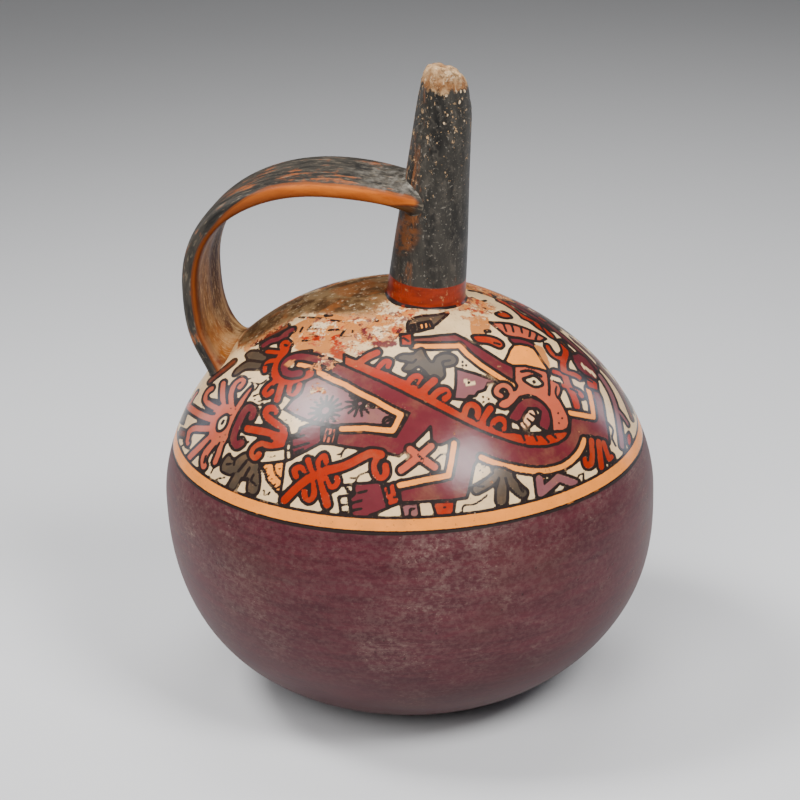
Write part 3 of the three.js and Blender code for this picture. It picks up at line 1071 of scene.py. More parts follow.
class LowerRow(Drawing):
    """The foot, the crossed bar, the blocks and the plants along the lower line."""

    foot = fill(Slip.MAROON, patch("""
        354,484 380,482 383.5,488 385,499 388.5,508 377,513 370,517 351.5,517 350.5,497 354.5,494.5
    """))
    toe_lines = ink(0.42, "358,493.3 367,491", "353,503 362,500.7", "352,510.3 361.5,509")
    heel_mark = ink(0.7, "371.5,515.5 377,514")
    upper_nail = fill(Slip.CREAM, patch("344.5,485.5 353.5,484.5 354,494.5 349,492"))
    lower_nails = fill(Slip.CREAM, patch("338.7,497 348.5,495.5 352,515.5 342,516"))
    nail_lines = ink(0.36, "340.5,505.5 349.5,504", "342,512.5 351,511")
    ankle = fill(Slip.RED, patch("382,486.5 394.5,482 400.5,503 388.5,507.5 385.5,499"))
    ankle_marks = ink(0.5, "388,485 389.3,493", "394.3,497.3", "387.3,500.5")
    left_block = fill(Slip.MAUVE, patch("401,504.5 418,502.5 420,517.5 403.5,517.5"))
    left_block_line = ink(0.42, "410,517 410,510 413.5,508.8")
    right_block = fill(Slip.RED, patch("432,502 455,501 453.5,515 436,516"))
    right_block_dot = ink(0.5, "444.5,507.5")
    crossed_bar = fill(
        Slip.SALMON,
        stroke(4.8, "410,449.7 434.5,467.3"),
        stroke(4.8, "431,446.5 401.5,470.3"),
    )
    crossed_bar_line = ink(0.36, "418,455.5 423.5,460")
    sprigs = ink(
        0.32, "437,458 441,454.8 446,454", "337,455.3 341,454", "341.5,457.3 343,451.5 347.5,447",
        "350,478.5 357,478 360.5,475 368.5,472", "357,478 356,483",
    )
    red_plant = fill(
        Slip.RED,
        stroke(5.4, "312,475.5 323,471.5 345,466 364,456.5 372,453.5 381,455"),
        stroke(4.6, "379,455 374.8,464.5 376,474 381.3,478 386,473.5 385.5,466"),
        stroke(4.3, "308,472 300,467.5 294.5,470.5 296.5,476.5"),
        stroke(4.5, "312,475 308.2,460.5"),
        stroke(4.1, "317.5,471 319,461 324.5,456 326.5,462"),
        stroke(5.4, "309,478.5 297,488 285,500"),
        stroke(4.4, "314.5,482 314.3,494 310,499.8 305.5,497 304.8,492"),
        stroke(5.2, "320,479 324,491 327.5,504.5"),
        stroke(4, "326,478 330,486 334.7,486.8 338,482 337,478"),
    )
    red_plant_lines = ink(
        0.42, "304,462 309,473.5", "312.5,456.5 316,470.5", "316.5,480.5 319,492", "325,482 328.3,491.5",
        "299.5,471 303,476.5", "322,467 322.3,461", "309.3,489.5 309.5,496.5",
        "380.5,460.5 378,467 381,474",
    )
    grey_plant = fill(
        Slip.GREY,
        stroke(4.8, "500,473 489,482.5 476.5,489.5"),
        stroke(6, "503,474 502,487 501.5,500"),
        stroke(5.2, "507,476 516,487 523,493"),
        blob("492,467.5 503,468 513,472.5 513,479 505,484 496,480"),
    )
    grey_plant_veins = ink(0.45, "499,478 496.5,487", "505.5,478 508.5,488.5")
    grey_plant_lines = ink(0.38, "475.5,485.5 484,486.5", "519,485 523,492")
    zigzag = fill(Slip.MAUVE, bar(5, "539.5,479 541,493 558.5,477.5 575,483.5"))
    right_sprigs = ink(
        0.32, "462,510 464.5,505 472,505 480,501 487,495.5", "482,466.7", "484.3,468.5", "479.7,470.7",
        "483,472.3", "578,476 583,473 583,479",
    )


class Crest(Drawing):
    """The red crest along the figure's back, down to the jaw, and its hooks."""

    crest = fill(
        Slip.RED,
        patch("""
            344,354 362,361 388,371.5 406,379.5 424,389 440,400 455,408 468,416 485,423.5 505,432 515,431.5
            523,433 531,434.5 546,434 556,431.5 568,429.5 569.5,432 566,438 558,443.5 546,446.5 530,446.5
            515,443 500,438 480,430.5 460,421 440,411 420,401 400,391 380,381 360,372 344,365
        """),
        stroke(4.3, "408,385 411,379 416.5,376.3 421,379 419.5,383"),
        stroke(5.1, "422.5,392 428.5,386 434,381.3"),
        stroke(4.6, "433,397 439,391.5 445.5,391 448,395.5 445,399"),
        stroke(4.4, "464,416 466.5,407.5 472,404.7 477.3,408.5 478,414 476,418.5"),
        stroke(4.8, "481,425 486.5,414.5 490,409"),
        stroke(4.2, "492.5,429 493.8,421.7 500,419 505,422 504.5,428.5"),
        stroke(4.8, "359,363 368,356.5 377,352.5"),
        stroke(4, "379,367 384.5,361.5 389.3,362 388,366.5"),
    )
    hook_lines = ink(
        0.42, "411.5,384.7 415,383.2 417.3,380.5", "424,379.5 418.3,388", "436,386 428.7,394.3",
        "438.5,397.5 442,395.7 446,393", "471,409.5 472.3,416 476.7,421.3",
        "493.5,426.5 498,428 502.3,425.3", "487,421 492,414",
    )
    jaw_lines = ink(
        0.4, "522,433.5 525,440.7", "534,434.5 537,440.5", "542.3,435 549,442", "552.3,434.5 556,437.7",
    )


class UpperRow(Drawing):
    """The raised arm, the grey figure, the eyed triangle, the fan and the bands below the horizon."""

    arm = fill(Slip.RED, patch("""
        492,292.5 500,297.5 507,300.5 513,306 520,312 529,317 537,321.5 546,328 554,335.5 556,341 549,337
        543,332 536,327.5 529,321.5 522,318.5 517,313 511,308 504,303.5 497,300
    """))
    arm_lines = ink(0.4, "532.5,322 535,327", "541,326 545.5,333")
    arm_strip = fill(Slip.MAROON, stroke(3.6, "511,301.5 521,307.5 531,314 541,320 552,328.5"))
    outer_strip = fill(Slip.RED, stroke(3, "540,316.5 549,322.5 557,329.5"))
    fan = fill(Slip.SALMON, patch("""
        489.5,322.5 500,322.8 511,324 523,327.5 534,332 546,339 540,342 530,341 521,338.5 510,337 505,335.5
        498,329.5
    """))
    fan_lines = ink(
        0.4, "503,324 506,331.5", "511.2,325 513.3,332", "520.7,328 521.8,333", "530,332 529,337",
        "536.8,335 535,340",
    )
    fan_foot = fill(Slip.MAROON, blob("508.5,338 519,338.5 530,342 536,348 530,347.5 520,344.5 513,344"))
    bud = fill(Slip.RED, blob("495,314 503.5,311.5 512,317.5 503,318.3"))
    dash = ink(0.7, "485.5,331.6 489.5,331.4")
    band = fill(Slip.MAROON, patch("""
        412,338 440,336 455,334.5 466,339.5 480,347.5 503,362 514,367 514,381.5 497,372.5 482,362.5
        469,351.5 461,343.3 440,343.5 412.5,343
    """))
    band_strip = fill(Slip.ORANGE, bar(3.9, """
        413.5,346.5 440,346.8 459.3,346.3 467.5,355 481,365.5 496,375.3 513,385.7
    """))
    fin = fill(Slip.RED, blob("""
        471.5,336.5 480,335.3 491,336.5 500,340 504,345 501,349 495,347.5 488,344.5 477,343
    """))
    fin_line = ink(0.36, "494,343 499.5,344.5")
    band_end = fill(Slip.RED, patch("400,334.5 412,333.5 413,346.5 401,346"))
    band_end_line = ink(0.4, "403.5,338 408.5,341.5")
    grey_figure = fill(Slip.GREY, blob("""
        396,357.5 403,354 413,354 417,350 423,349 426,355.5 432,362.5 436,357 443,354 451,354.5 457,358.5
        456,364.5 450,367 444.5,368.5 445,376 441,380 435,378.5 429,376.5 423,370.5 418,367.5 412,371.5
        406,372 402.5,369 407,362.5 400,361
    """))
    grey_figure_lines = ink(0.4, "402,361.3 412,363 416,360", "443.5,367 442.5,362.5 450,361")
    triangle = fill(Slip.MAUVE, patch("""
        455.5,368.5 476,374 497.5,381.3 488,383.5 485,390 478,392.5 475,396.5 469,396.5 466,400 453.5,399.5
        455.5,384
    """))
    triangle_eye = bare(Slip.CREAM, blob("464,379 470,381.3 476,382.8 471,386 466,386"))
    triangle_pupil = ink(0.5, "468.5,383")
    triangle_dots = ink(
        0.44, "462.5,362.2", "462.5,366", "466,365.8", "483,397.3", "483.4,402", "488.6,399.2",
    )


class Head(Drawing):
    """The figure's head in profile: cap, eye, curled nose, open mouth and cheek."""

    mouth = fill(Slip.MAROON, patch("""
        508,416 513,409 517,403 523,398 531,396.5 541,401.5 548,408 551.5,417 551,426 548,432 530,434
        520,433 508,430
    """))
    teeth = fill(Slip.CREAM, patch("""
        509.5,419.5 516,422.5 521,421 524.5,413.5 528.5,408.3 536,408.5 540.5,411.5 539.5,419 537,425.5
        547.5,432 532,433.3 520,431 511,429
    """))
    tongue = fill(Slip.PEACH, patch("""
        517,422 521.3,421 524.5,414 528.5,409 533,408.7 536,412.5 537,417.5 534,423 529,428 525,430.3
        521,428
    """))
    tongue_lines = ink(0.38, "530,413.7 535.3,417", "527.3,418.7 532.3,423", "523.7,423 528.7,427.8")
    face = fill(
        Slip.SALMON,
        patch("""
            513.5,366 525,366 540,369 547.5,372.5 552,380 559,384 561.5,390 558.5,398 564,407.5 568,416
            569.5,424 567,429.5 562,431.5 552,431.5 551.5,420 549.5,411 543.5,403.3 535.5,397.3 528,395.3
            520,397 515.5,402.5 509,408.5 504,409.5 499,408 496.5,404.5 500.5,400 507,397 509.5,391
            515.5,389.5 517,385.5 514,381
        """),
        stroke(3.7, "511,392 508.5,387.5 502.5,385.3 497,388.7 496.5,393.5 501,396"),
    )
    nose_line = ink(0.36, "506.5,396 507.5,392 503.5,389.8 500.8,391.5")
    eye = fill(Slip.CREAM, blob("523,379.5 528,377.3 533.5,376 538.5,379 542.7,384.3 537,387.3 530,385"))
    pupil = ink(0.62, "534,382")
    brow = ink(0.5, "521,371.7 528,371 535,373 541,376.5")
    cheek_line = ink(0.5, "547.7,374.5 549,395")
    ear_gap = bare(Slip.CREAM, patch("550,376.5 559,379 563.5,383 560,383 550,379.5"))
    ear_line = ink(0.36, "556.3,387 555.2,393 557.2,398")
    cheek_dots = ink(0.4, "558,413.4", "562,418.4", "559,423.4")
    jaw_line = ink(0.4, "551,432.3 558,432 568,429.3")
    cap_side = bare(Slip.TAN, blob("534,346 541,347 547,357 550,369 546,369 540,358"))
    cap = fill(Slip.ORANGE, patch("""
        504,362 509.5,350 513.5,345 520,344.3 528,346 534,349 541,360 549.5,372.5 538,369 525,366 512.5,366
    """))


class RightEnd(Drawing):
    """The plant, hand, cuff, fingers and streamers at the right end of the front."""

    plant = fill(
        Slip.RED,
        stroke(4.8, "562,343 565.5,352 563,362 563.5,372 567,384 572.5,395 576.5,406.5"),
        stroke(3.4, "547,347 551,353.5 557,358 563,358.5"),
        stroke(3.5, "553.5,372 563,375"),
        stroke(3.9, "566,373.5 574,375 579,378"),
        stroke(3.5, "562.5,386 568,386.5"),
        stroke(3.8, "571,390 578,392.7 581.5,396.5"),
    )
    plant_lines = ink(0.4, "555.5,355.5 561,352", "561.5,373.5 569.5,376.5", "570,389 577,392.7")
    rim_strip = fill(Slip.MAROON, stroke(3.6, "549,324 566,338.5 582,353 596,368"))
    rim_line = fill(Slip.ORANGE, stroke(1.6, "560,341 574,354"))
    cuff = fill(Slip.ORANGE, bar(3.9, "569,413 593,417.5 587.5,389"))
    hand = fill(Slip.MAROON, patch("""
        571,355 578,352.5 586,357 594,368 599,379 594,381 584,375.5 577,369.5 572.5,362
    """))
    first_nail = bare(Slip.CREAM, stroke(1.7, "581.5,364.5 584,368"))
    second_nail = bare(Slip.CREAM, stroke(1.7, "586.3,368.7 589.3,372"))
    third_nail = bare(Slip.CREAM, stroke(1.7, "591.3,372 594.3,376"))
    wrist = fill(Slip.RED, patch("583.5,375.5 590,378 597.5,383 598,392 586.5,388"))
    wrist_line = ink(0.36, "586,379.5 592,382.5")
    streamer = fill(
        Slip.MAUVE,
        stroke(4.2, "600,376 606,385 612,397 616.5,412 619.5,430 621.5,446"),
        stroke(3, "619,412 624,418.5 627.5,424"),
    )
    seed = fill(Slip.RED, blob("626,436 628.5,432 631,436 631.5,443 629,447 626.5,443"))
    outer_strip = fill(Slip.BROWN, stroke(3.5, "600,366 611,378 620,391 627,405 632,418"))
    wave = ink(0.42, "608,424 612.5,430 611.5,438 615,446")
    fingers = fill(
        Slip.RED,
        stroke(4.4, "591,441 591.7,454 591,463.5 586.5,465 585,459.5"),
        stroke(4.5, "598,442 599.5,455 601,467"),
        stroke(4, "603,443 606,452 608.5,459 611,457"),
    )
    finger_lines = ink(0.4, "588.5,453 587.3,460.5", "594.7,446 596,456")


class WornRow(Drawing):
    """Scraps of paint that are left where the shoulder is worn, below the handle and the spout."""

    bare_clay = bare(Slip.TAN, blob("""
        292,332 305,321 335,314 372,313 400,322 404,333 385,338 366,341 352,350 328,354 300,352
    """))
    cream_scraps = bare(
        Slip.CREAM,
        blob("343,344 350,340 360,343 358,350 346,351"),
        blob("381,337 386,335 390,338 384,340"),
        stroke(2.6, "398,349.5 415,350"),
    )
    red_scraps = bare(
        Slip.RED,
        blob("301,339 305,336 310,337 309,341"),
        blob("313,337 323,335.5 325,340 315,342"),
        blob("331,338 341,335 342,343 335,347"),
        blob("330,349 338,347 346,353 345,361 334,358"),
        blob("350,320 354,317 358,320"),
        blob("364,319 372,317.5 379,321.5"),
        blob("357,353 364,350 366,356 360,358"),
    )
    maroon_scraps = bare(
        Slip.MAROON,
        blob("361,329 367,327 374,331 371,341 364,337"),
        blob("372,341 394,340 395,346 375,347"),
        blob("388,336 396,328.5 403,328 400,333 395,340"),
        blob("303,353 316,352 322,356 308,358"),
    )
    orange_scrap = bare(Slip.ORANGE, stroke(1.7, "377,331 396,334.5"))
    ink_scraps = bare(
        Slip.INK,
        blob("313,330 318,325 321,328 318,330"),
        blob("315,336 318,335 317,340"),
    )
    grey_fin = fill(Slip.GREY, blob("408,331 409,321 420,317 434,316 448,313 442,320 433,327 420,332"))
    windows = fill(
        Slip.ORANGE,
        patch("418,324 430,322 433,329 420,331"),
        patch("410.5,326 414,325 415,330 411.5,331"),
    )
    lines = ink(
        0.4, "423.5,324 424.5,330", "427.5,323.5 429,329.5", "300,318.5 318,319 345,322.5",
        "301,333 303.5,328.5", "308.5,331 312,327", "329,331 344,329.5",
        "345.5,330 341,337 352,336.5 352.5,331", "303,342 310,341", "366,320.5 378,320.5",
        "377,329.5 398,332.5",
    )
    dashes = ink(0.7, "326,316.5 332,316", "335,313.5 338,312", "301,353 312,351.5")
    right_bare_clay = bare(Slip.TAN, blob("470,319 477,316.5 487,318 490,328 484,335 471,334"))
    right_lines = ink(0.5, "472,297 479,301 486,300", "478,306 488,309")


@dataclass(frozen=True)
class Scuff:
    """A rubbed place: its azimuth from the camera's side, its run, its reach and its strength."""

    azimuth: float
    run: float
    reach: float
    strength: float


@dataclass(frozen=True)
class Frieze:
    """The painted scene on the shoulder, with the band and its two lines below it.

    Attributes:
        skin: The jar's skin.
        period: Turn after which the motifs come again, on the side that isn't seen.
        line_half: Half the width of the motifs' outlines.
        band_line_half: Half the width of the lines at the band.
        band_low: Run of the band's lower line.
        reach: Greatest distance from ink that is kept.
        margin: How far round a motif spots are looked at.
        single_from: Azimuth from the camera's side past which a motif doesn't come again.
        handle_azimuth: The handle's side; soil lies at its foot and along the ridge up to the spout.
    """

    skin: Skin
    period: float = 180.0
    line_half: float = 0.49
    band_line_half: float = 0.46
    band_low: float = -4.25
    reach: float = 1.6
    margin: float = 8.0
    single_from: float = 74.0
    handle_azimuth: float = -90.0
    foot_width: float = 20.0
    foot_runs: tuple[float, float] = (24.0, 38.0)
    ridge_width: float = 30.0
    ridge_runs: tuple[float, float] = (50.0, 60.0)
    ridge_spread: float = 52.0
    spread_runs: tuple[float, float] = (58.0, 72.0)
    soil_strength: float = 1.1
    scuffs: tuple[Scuff, ...] = (
        Scuff(-34, 37, 6, 0.43),
        Scuff(-38, 46, 6, 0.5),
        Scuff(-58, 56, 11, 0.54),
        Scuff(-32, 56, 9, 0.55),
        Scuff(-18, 61, 9, 0.54),
        Scuff(-45, 68, 11, 0.62),
        Scuff(-8, 71, 11, 0.6),
        Scuff(34, 73, 9, 0.55),
        Scuff(76, 66, 12, 0.62),
        Scuff(58, 60, 8, 0.5),
        Scuff(84, 62, 9, 0.5),
    )

    def motifs(self) -> list[Motif]:
        """All motifs laid on the dome, in the order they are painted."""
        left = (WornRow, Leaves, RayedCreature)
        middle = (UpperRow, FlyingFigure, RedClaw, RedHand, LowerRow, Crest)
        parts = (*left, *middle, RightEnd, Head)
        return [motif.laid(self.skin) for part in parts for motif in part.motifs()]

    def paint(self, spots: Spots) -> tuple[Array, Array]:
        """Paints the frieze at spots on the shoulder.

        Each motif lays its slip inside its outline and an ink line along it, and covers what was painted
        there before.

        Args:
            spots: Places on the shoulder, azimuths round the whole jar.

        Returns:
            The slip's shader colour at each spot, and the distance to the nearest ink, below zero in it.
        """
        slip = np.tile(np.array(Slip.CREAM.rgb), (len(spots.run), 1))
        inked = np.full(len(spots.run), self.reach)
        for motif in self.motifs():
            some, near = self.beside(motif, spots)
            depth = np.min([shape.depth(near) for shape in motif.shapes], axis=0)
            if motif.slip is None:
                inked[some] = np.minimum(inked[some], depth)
                continue
            inside = depth < 0
            slip[some[inside]] = motif.slip.rgb
            if motif.lined:
                edge = np.abs(depth) - self.line_half
                inked[some] = np.where(inside, edge, np.minimum(inked[some], edge))
            else:
                inked[some] = np.where(inside, np.maximum(inked[some], -depth), inked[some])
        band = spots.run < 0
        slip[band] = Slip.ORANGE.rgb
        upper = np.abs(spots.run) - self.band_line_half
        lower = np.abs(spots.run - self.band_low) - self.band_line_half
        inked = np.where(band, np.minimum(upper, lower), np.minimum(inked, upper))
        return slip, np.minimum(inked, self.reach)

    def beside(self, motif: Motif, spots: Spots) -> tuple[Array, Spots]:
        """The spots in or near a motif, or where it comes again.

        Args:
            motif: A motif laid on the dome.
            spots: Places on the shoulder.

        Returns:
            The numbers of these spots, and the spots with azimuths from the camera's side, as the motif's.
        """
        low, high = motif.span()
        middle = (low[0] + high[0]) / 2
        period = self.period if middle < self.single_from else 2 * self.period
        azimuth = (spots.azimuth - PHOTO.azimuth - middle + period / 2) % period - period / 2 + middle
        margin = np.degrees(self.margin / spots.radius)
        close = (azimuth > low[0] - margin) & (azimuth < high[0] + margin)
        close &= (spots.run > low[1] - self.margin) & (spots.run < high[1] + self.margin)
        some = np.flatnonzero(close)
        return some, Spots(azimuth[some], spots.run[some], spots.radius[some], spots.lean[some])

    def soil(self, spots: Spots) -> Array:
        """How far the paint is rubbed off and soiled, at the handle's foot and from there to the spout."""
        side = (spots.azimuth - self.handle_azimuth + 180) % 360 - 180
        foot = bell(side, 0, self.foot_width) * smooth(spots.run, *self.foot_runs)
        width = self.ridge_width + self.ridge_spread * smooth(spots.run, *self.spread_runs)
        ridge = bell(side, 0, width) * smooth(spots.run, *self.ridge_runs)
        return np.clip(np.maximum(foot, ridge) * self.soil_strength, 0, 1)

    def wear(self, spots: Spots) -> Array:
        """How far the paint is worn away: in the soiled part and in scuffs over the upper shoulder."""
        facing = (spots.azimuth - PHOTO.azimuth + self.period / 2) % self.period - self.period / 2
        worn = self.soil(spots)
        for scuff in self.scuffs:
            apart = np.hypot(np.radians(facing - scuff.azimuth) * spots.radius, spots.run - scuff.run)
            worn = np.maximum(worn, scuff.strength * bell(apart, 0, scuff.reach))
        return worn


# Finishes

@dataclass(frozen=True)
class BurnishedSlip:
    """The purple slip of the lower body: brushed round the jar, burnished, scuffed and dusty, with painted
    shade that darkens it towards the floor.

    Attributes:
        joint_height: Height of the joint with the shoulder, which has an ink line below it.
    """

    joint_height: float
    line_half: float = 0.62
    line_soft: float = 0.12
    deep: Colour = linear(60, 22, 30)
    warm: Colour = linear(78, 32, 40)
    brushed: Colour = linear(104, 50, 50)
    clouded: Colour = linear(72, 38, 36)
    dusty: Colour = linear(126, 106, 97)
    speckled: Colour = linear(176, 150, 134)
    scratched: Colour = linear(178, 150, 138)
    pitted: Colour = linear(50, 26, 26)
    # Painted shade: the darker purple laid over the lower bowl.
    low: Colour = linear(44, 20, 24)
    relief: float = 0.1
    gloss: float = 0.2

    def material(self) -> Material:
        """Builds the finish."""
        graph = Graph("burnished_purple_slip")
        height = graph.axis("Z")
        brush = graph.noise(20, 4, 0.6, (1, 1, 7), 0.3)
        fine = graph.noise(5, 3, 0.6, (1, 1, 12), 0.9)
        cloud = graph.noise(42, 3, 0.55, (1, 1, 1.6), 1.7)
        coat = Coat(graph, self.deep).add(brush.step(0.28, 0.74), self.warm)
        coat.add(fine.step(0.5, 0.8) * 0.3, self.brushed)
        coat.add(cloud.step(0.48, 0.74) * 0.5, self.clouded)
        patchy = graph.noise(38, 3, 0.55, shift=3.3).step(0.44, 0.64)
        scuff = graph.noise(9, 6, 0.72, (1, 1, 2.2), 2.6).step(0.5, 0.72)
        grains = graph.noise(1.7, 4, 0.72, (1, 1, 1.3), 8.8).step(0.4, 0.62)
        dust = (scuff * 0.6 + 0.4) * (patchy * 0.6 + 0.4) * (grains * 0.85 + 0.15)
        coat.add(dust * 0.72, self.dusty)
        speck = graph.noise(1.3, 3, 0.7, (1, 1, 1.6), 5.9).step(0.62, 0.7) * (patchy * 0.7 + 0.15)
        coat.add(speck * 0.3, self.speckled)
        scratch = graph.noise(30, 2, 0.4, (0.6, 0.6, 9), 4.4, 0.4)
        scratch = graph.apart(scratch, 0.5).step(0.008, 0.002) * patchy
        coat.add(scratch * 0.08, self.scratched)
        pits = graph.specks(3.4, 5.1).step(0.15, 0.07) * graph.noise(24, 2, 0.5, shift=6.2).step(0.5, 0.62)
        coat.add(pits * 0.7, self.pitted)
        wobble = graph.noise(12, 2, 0.5, shift=7.7) - 0.5
        line = self.joint_height - self.line_half
        inked = (height + wobble * 0.5).step(line - self.line_soft, line + self.line_soft)
        coat.add(inked, Slip.INK.rgb)
        # Painted shade: the bowl darkens from 46 mm down towards the floor.
        coat.add(height.step(46, 6) * 0.45, self.low)
        roughness = 0.4 + dust * 0.2 + brush * 0.1
        relief = brush * 0.4 + fine * 0.3 - pits * 0.5 + speck * 0.2
        return graph.finish(coat.colour, roughness, graph.bump(relief, self.relief), self.gloss)


@dataclass(frozen=True)
class PaintedSlip:
    """The frieze: coloured slips under ink lines, worn to the clay near the handle and the spout."""

    stained: Colour = linear(146, 106, 70)
    sooty: Colour = linear(84, 60, 44)
    orange_clay: Colour = linear(190, 114, 50)
    brown_clay: Colour = linear(182, 126, 78)
    pale_clay: Colour = linear(216, 186, 144)
    rubbed_pale: Colour = linear(128, 100, 66)
    rubbed_brown: Colour = linear(78, 52, 28)
    rubbed_dark_and_painted_shade: Colour = linear(54, 36, 22)
    rusty: Colour = linear(134, 76, 32)
    chalky: Colour = linear(196, 174, 142)
    relief: float = 0.2
    gloss: float = 0.3

    def material(self) -> Material:
        """Builds the finish."""
        graph = Graph("painted_slips")
        worn_in = graph.attribute("wear")
        brush = graph.noise(5, 4, 0.6, (1, 1, 1.4), 0.4)
        stain = graph.noise(14, 5, 0.66, shift=1.2)
        coat = Coat(graph, graph.tint(graph.painted("slip"), brush * 0.36 + 0.82))
        coat.add(stain.step(0.46, 0.74) * 0.32, self.stained)
        grain = graph.noise(1.5, 3, 0.6, shift=2.2)
        lines = (graph.attribute("ink") + (grain - 0.5) * 0.3).step(0.1, -0.1)
        fade = graph.noise(9, 4, 0.65, shift=3.1).step(0.6, 0.74)
        coat.add(lines * (1 - fade * 0.45), Slip.INK.rgb)
        soot = graph.noise(0.9, 2, 0.6, shift=9.1).step(0.65, 0.71) * stain.step(0.34, 0.54)
        coat.add(soot * (worn_in * 0.5 + 0.45), self.sooty)
        crumbs = graph.noise(3.4, 6, 0.74, (1, 1, 1.6), 4.3)
        lost = (worn_in * 1.15 + (crumbs - 0.5) * 1.7).step(0.5, 0.55)
        flakes = graph.noise(2.6, 4, 0.7, shift=5.5).step(0.68, 0.7) * stain.step(0.4, 0.6)
        ground = graph.noise(7, 5, 0.68, (1, 1, 1.3), 6.1)
        soiled = graph.attribute("soil").step(0.35, 0.7)
        clay = graph.mix(soiled, self.worn_clay(graph, ground), self.rubbed_clay(graph))
        coat.add(lost.most(flakes * 0.8), clay)
        roughness = 0.2 + lost * 0.34 + stain * 0.08
        relief = brush * 0.3 - lost * 0.4 - flakes * 0.4 + ground * lost * 0.6
        return graph.finish(coat.colour, roughness, graph.bump(relief, self.relief), self.gloss)

    def worn_clay(self, graph: Graph, ground: Value) -> Socket:
        """Colour of the clay under lost paint: orange, brown and pale, with scraps of slip and ink on it."""
        clay = Coat(graph, self.orange_clay).add(ground.step(0.42, 0.58), self.brown_clay)
        pale = graph.noise(6, 6, 0.7, (1, 1, 1.5), 7.2)
        clay.add(pale.step(0.55, 0.58), self.pale_clay)
        scrap = graph.noise(3.6, 4, 0.66, (1, 1, 1.7), 11.2)
        clay.add(scrap.step(0.575, 0.59) * 0.9, Slip.RED.rgb)
        clay.add(scrap.step(0.42, 0.405) * 0.8, Slip.MAROON.rgb)
        blots = graph.noise(2.2, 4, 0.7, (1, 1, 1.8), 12.6)
        return clay.add(blots.step(0.62, 0.635) * 0.85, Slip.INK.rgb).colour

    def rubbed_clay(self, graph: Graph) -> Socket:
        """Colour of the soiled clay near the handle, streaked, rusty and chalky; its darkest streaks are
        partly painted shade.
        """
        streaks = graph.noise(9, 6, 0.7, (0.6, 1, 3.0), 8.4)
        rubbed = Coat(graph, self.rubbed_pale).add(streaks.step(0.42, 0.58), self.rubbed_brown)
        # The darkest streaks are partly dirt and partly painted shade.
        rubbed.add(streaks.step(0.58, 0.66) * 0.7, self.rubbed_dark_and_painted_shade)
        rust = graph.noise(13, 5, 0.64, (0.6, 1, 2.2), 13.1)
        rubbed.add(rust.step(0.52, 0.62) * 0.7, self.rusty)
        chalk = graph.noise(1.6, 3, 0.7, shift=10.3)
        return rubbed.add(chalk.step(0.58, 0.66) * 0.6, self.chalky).colour


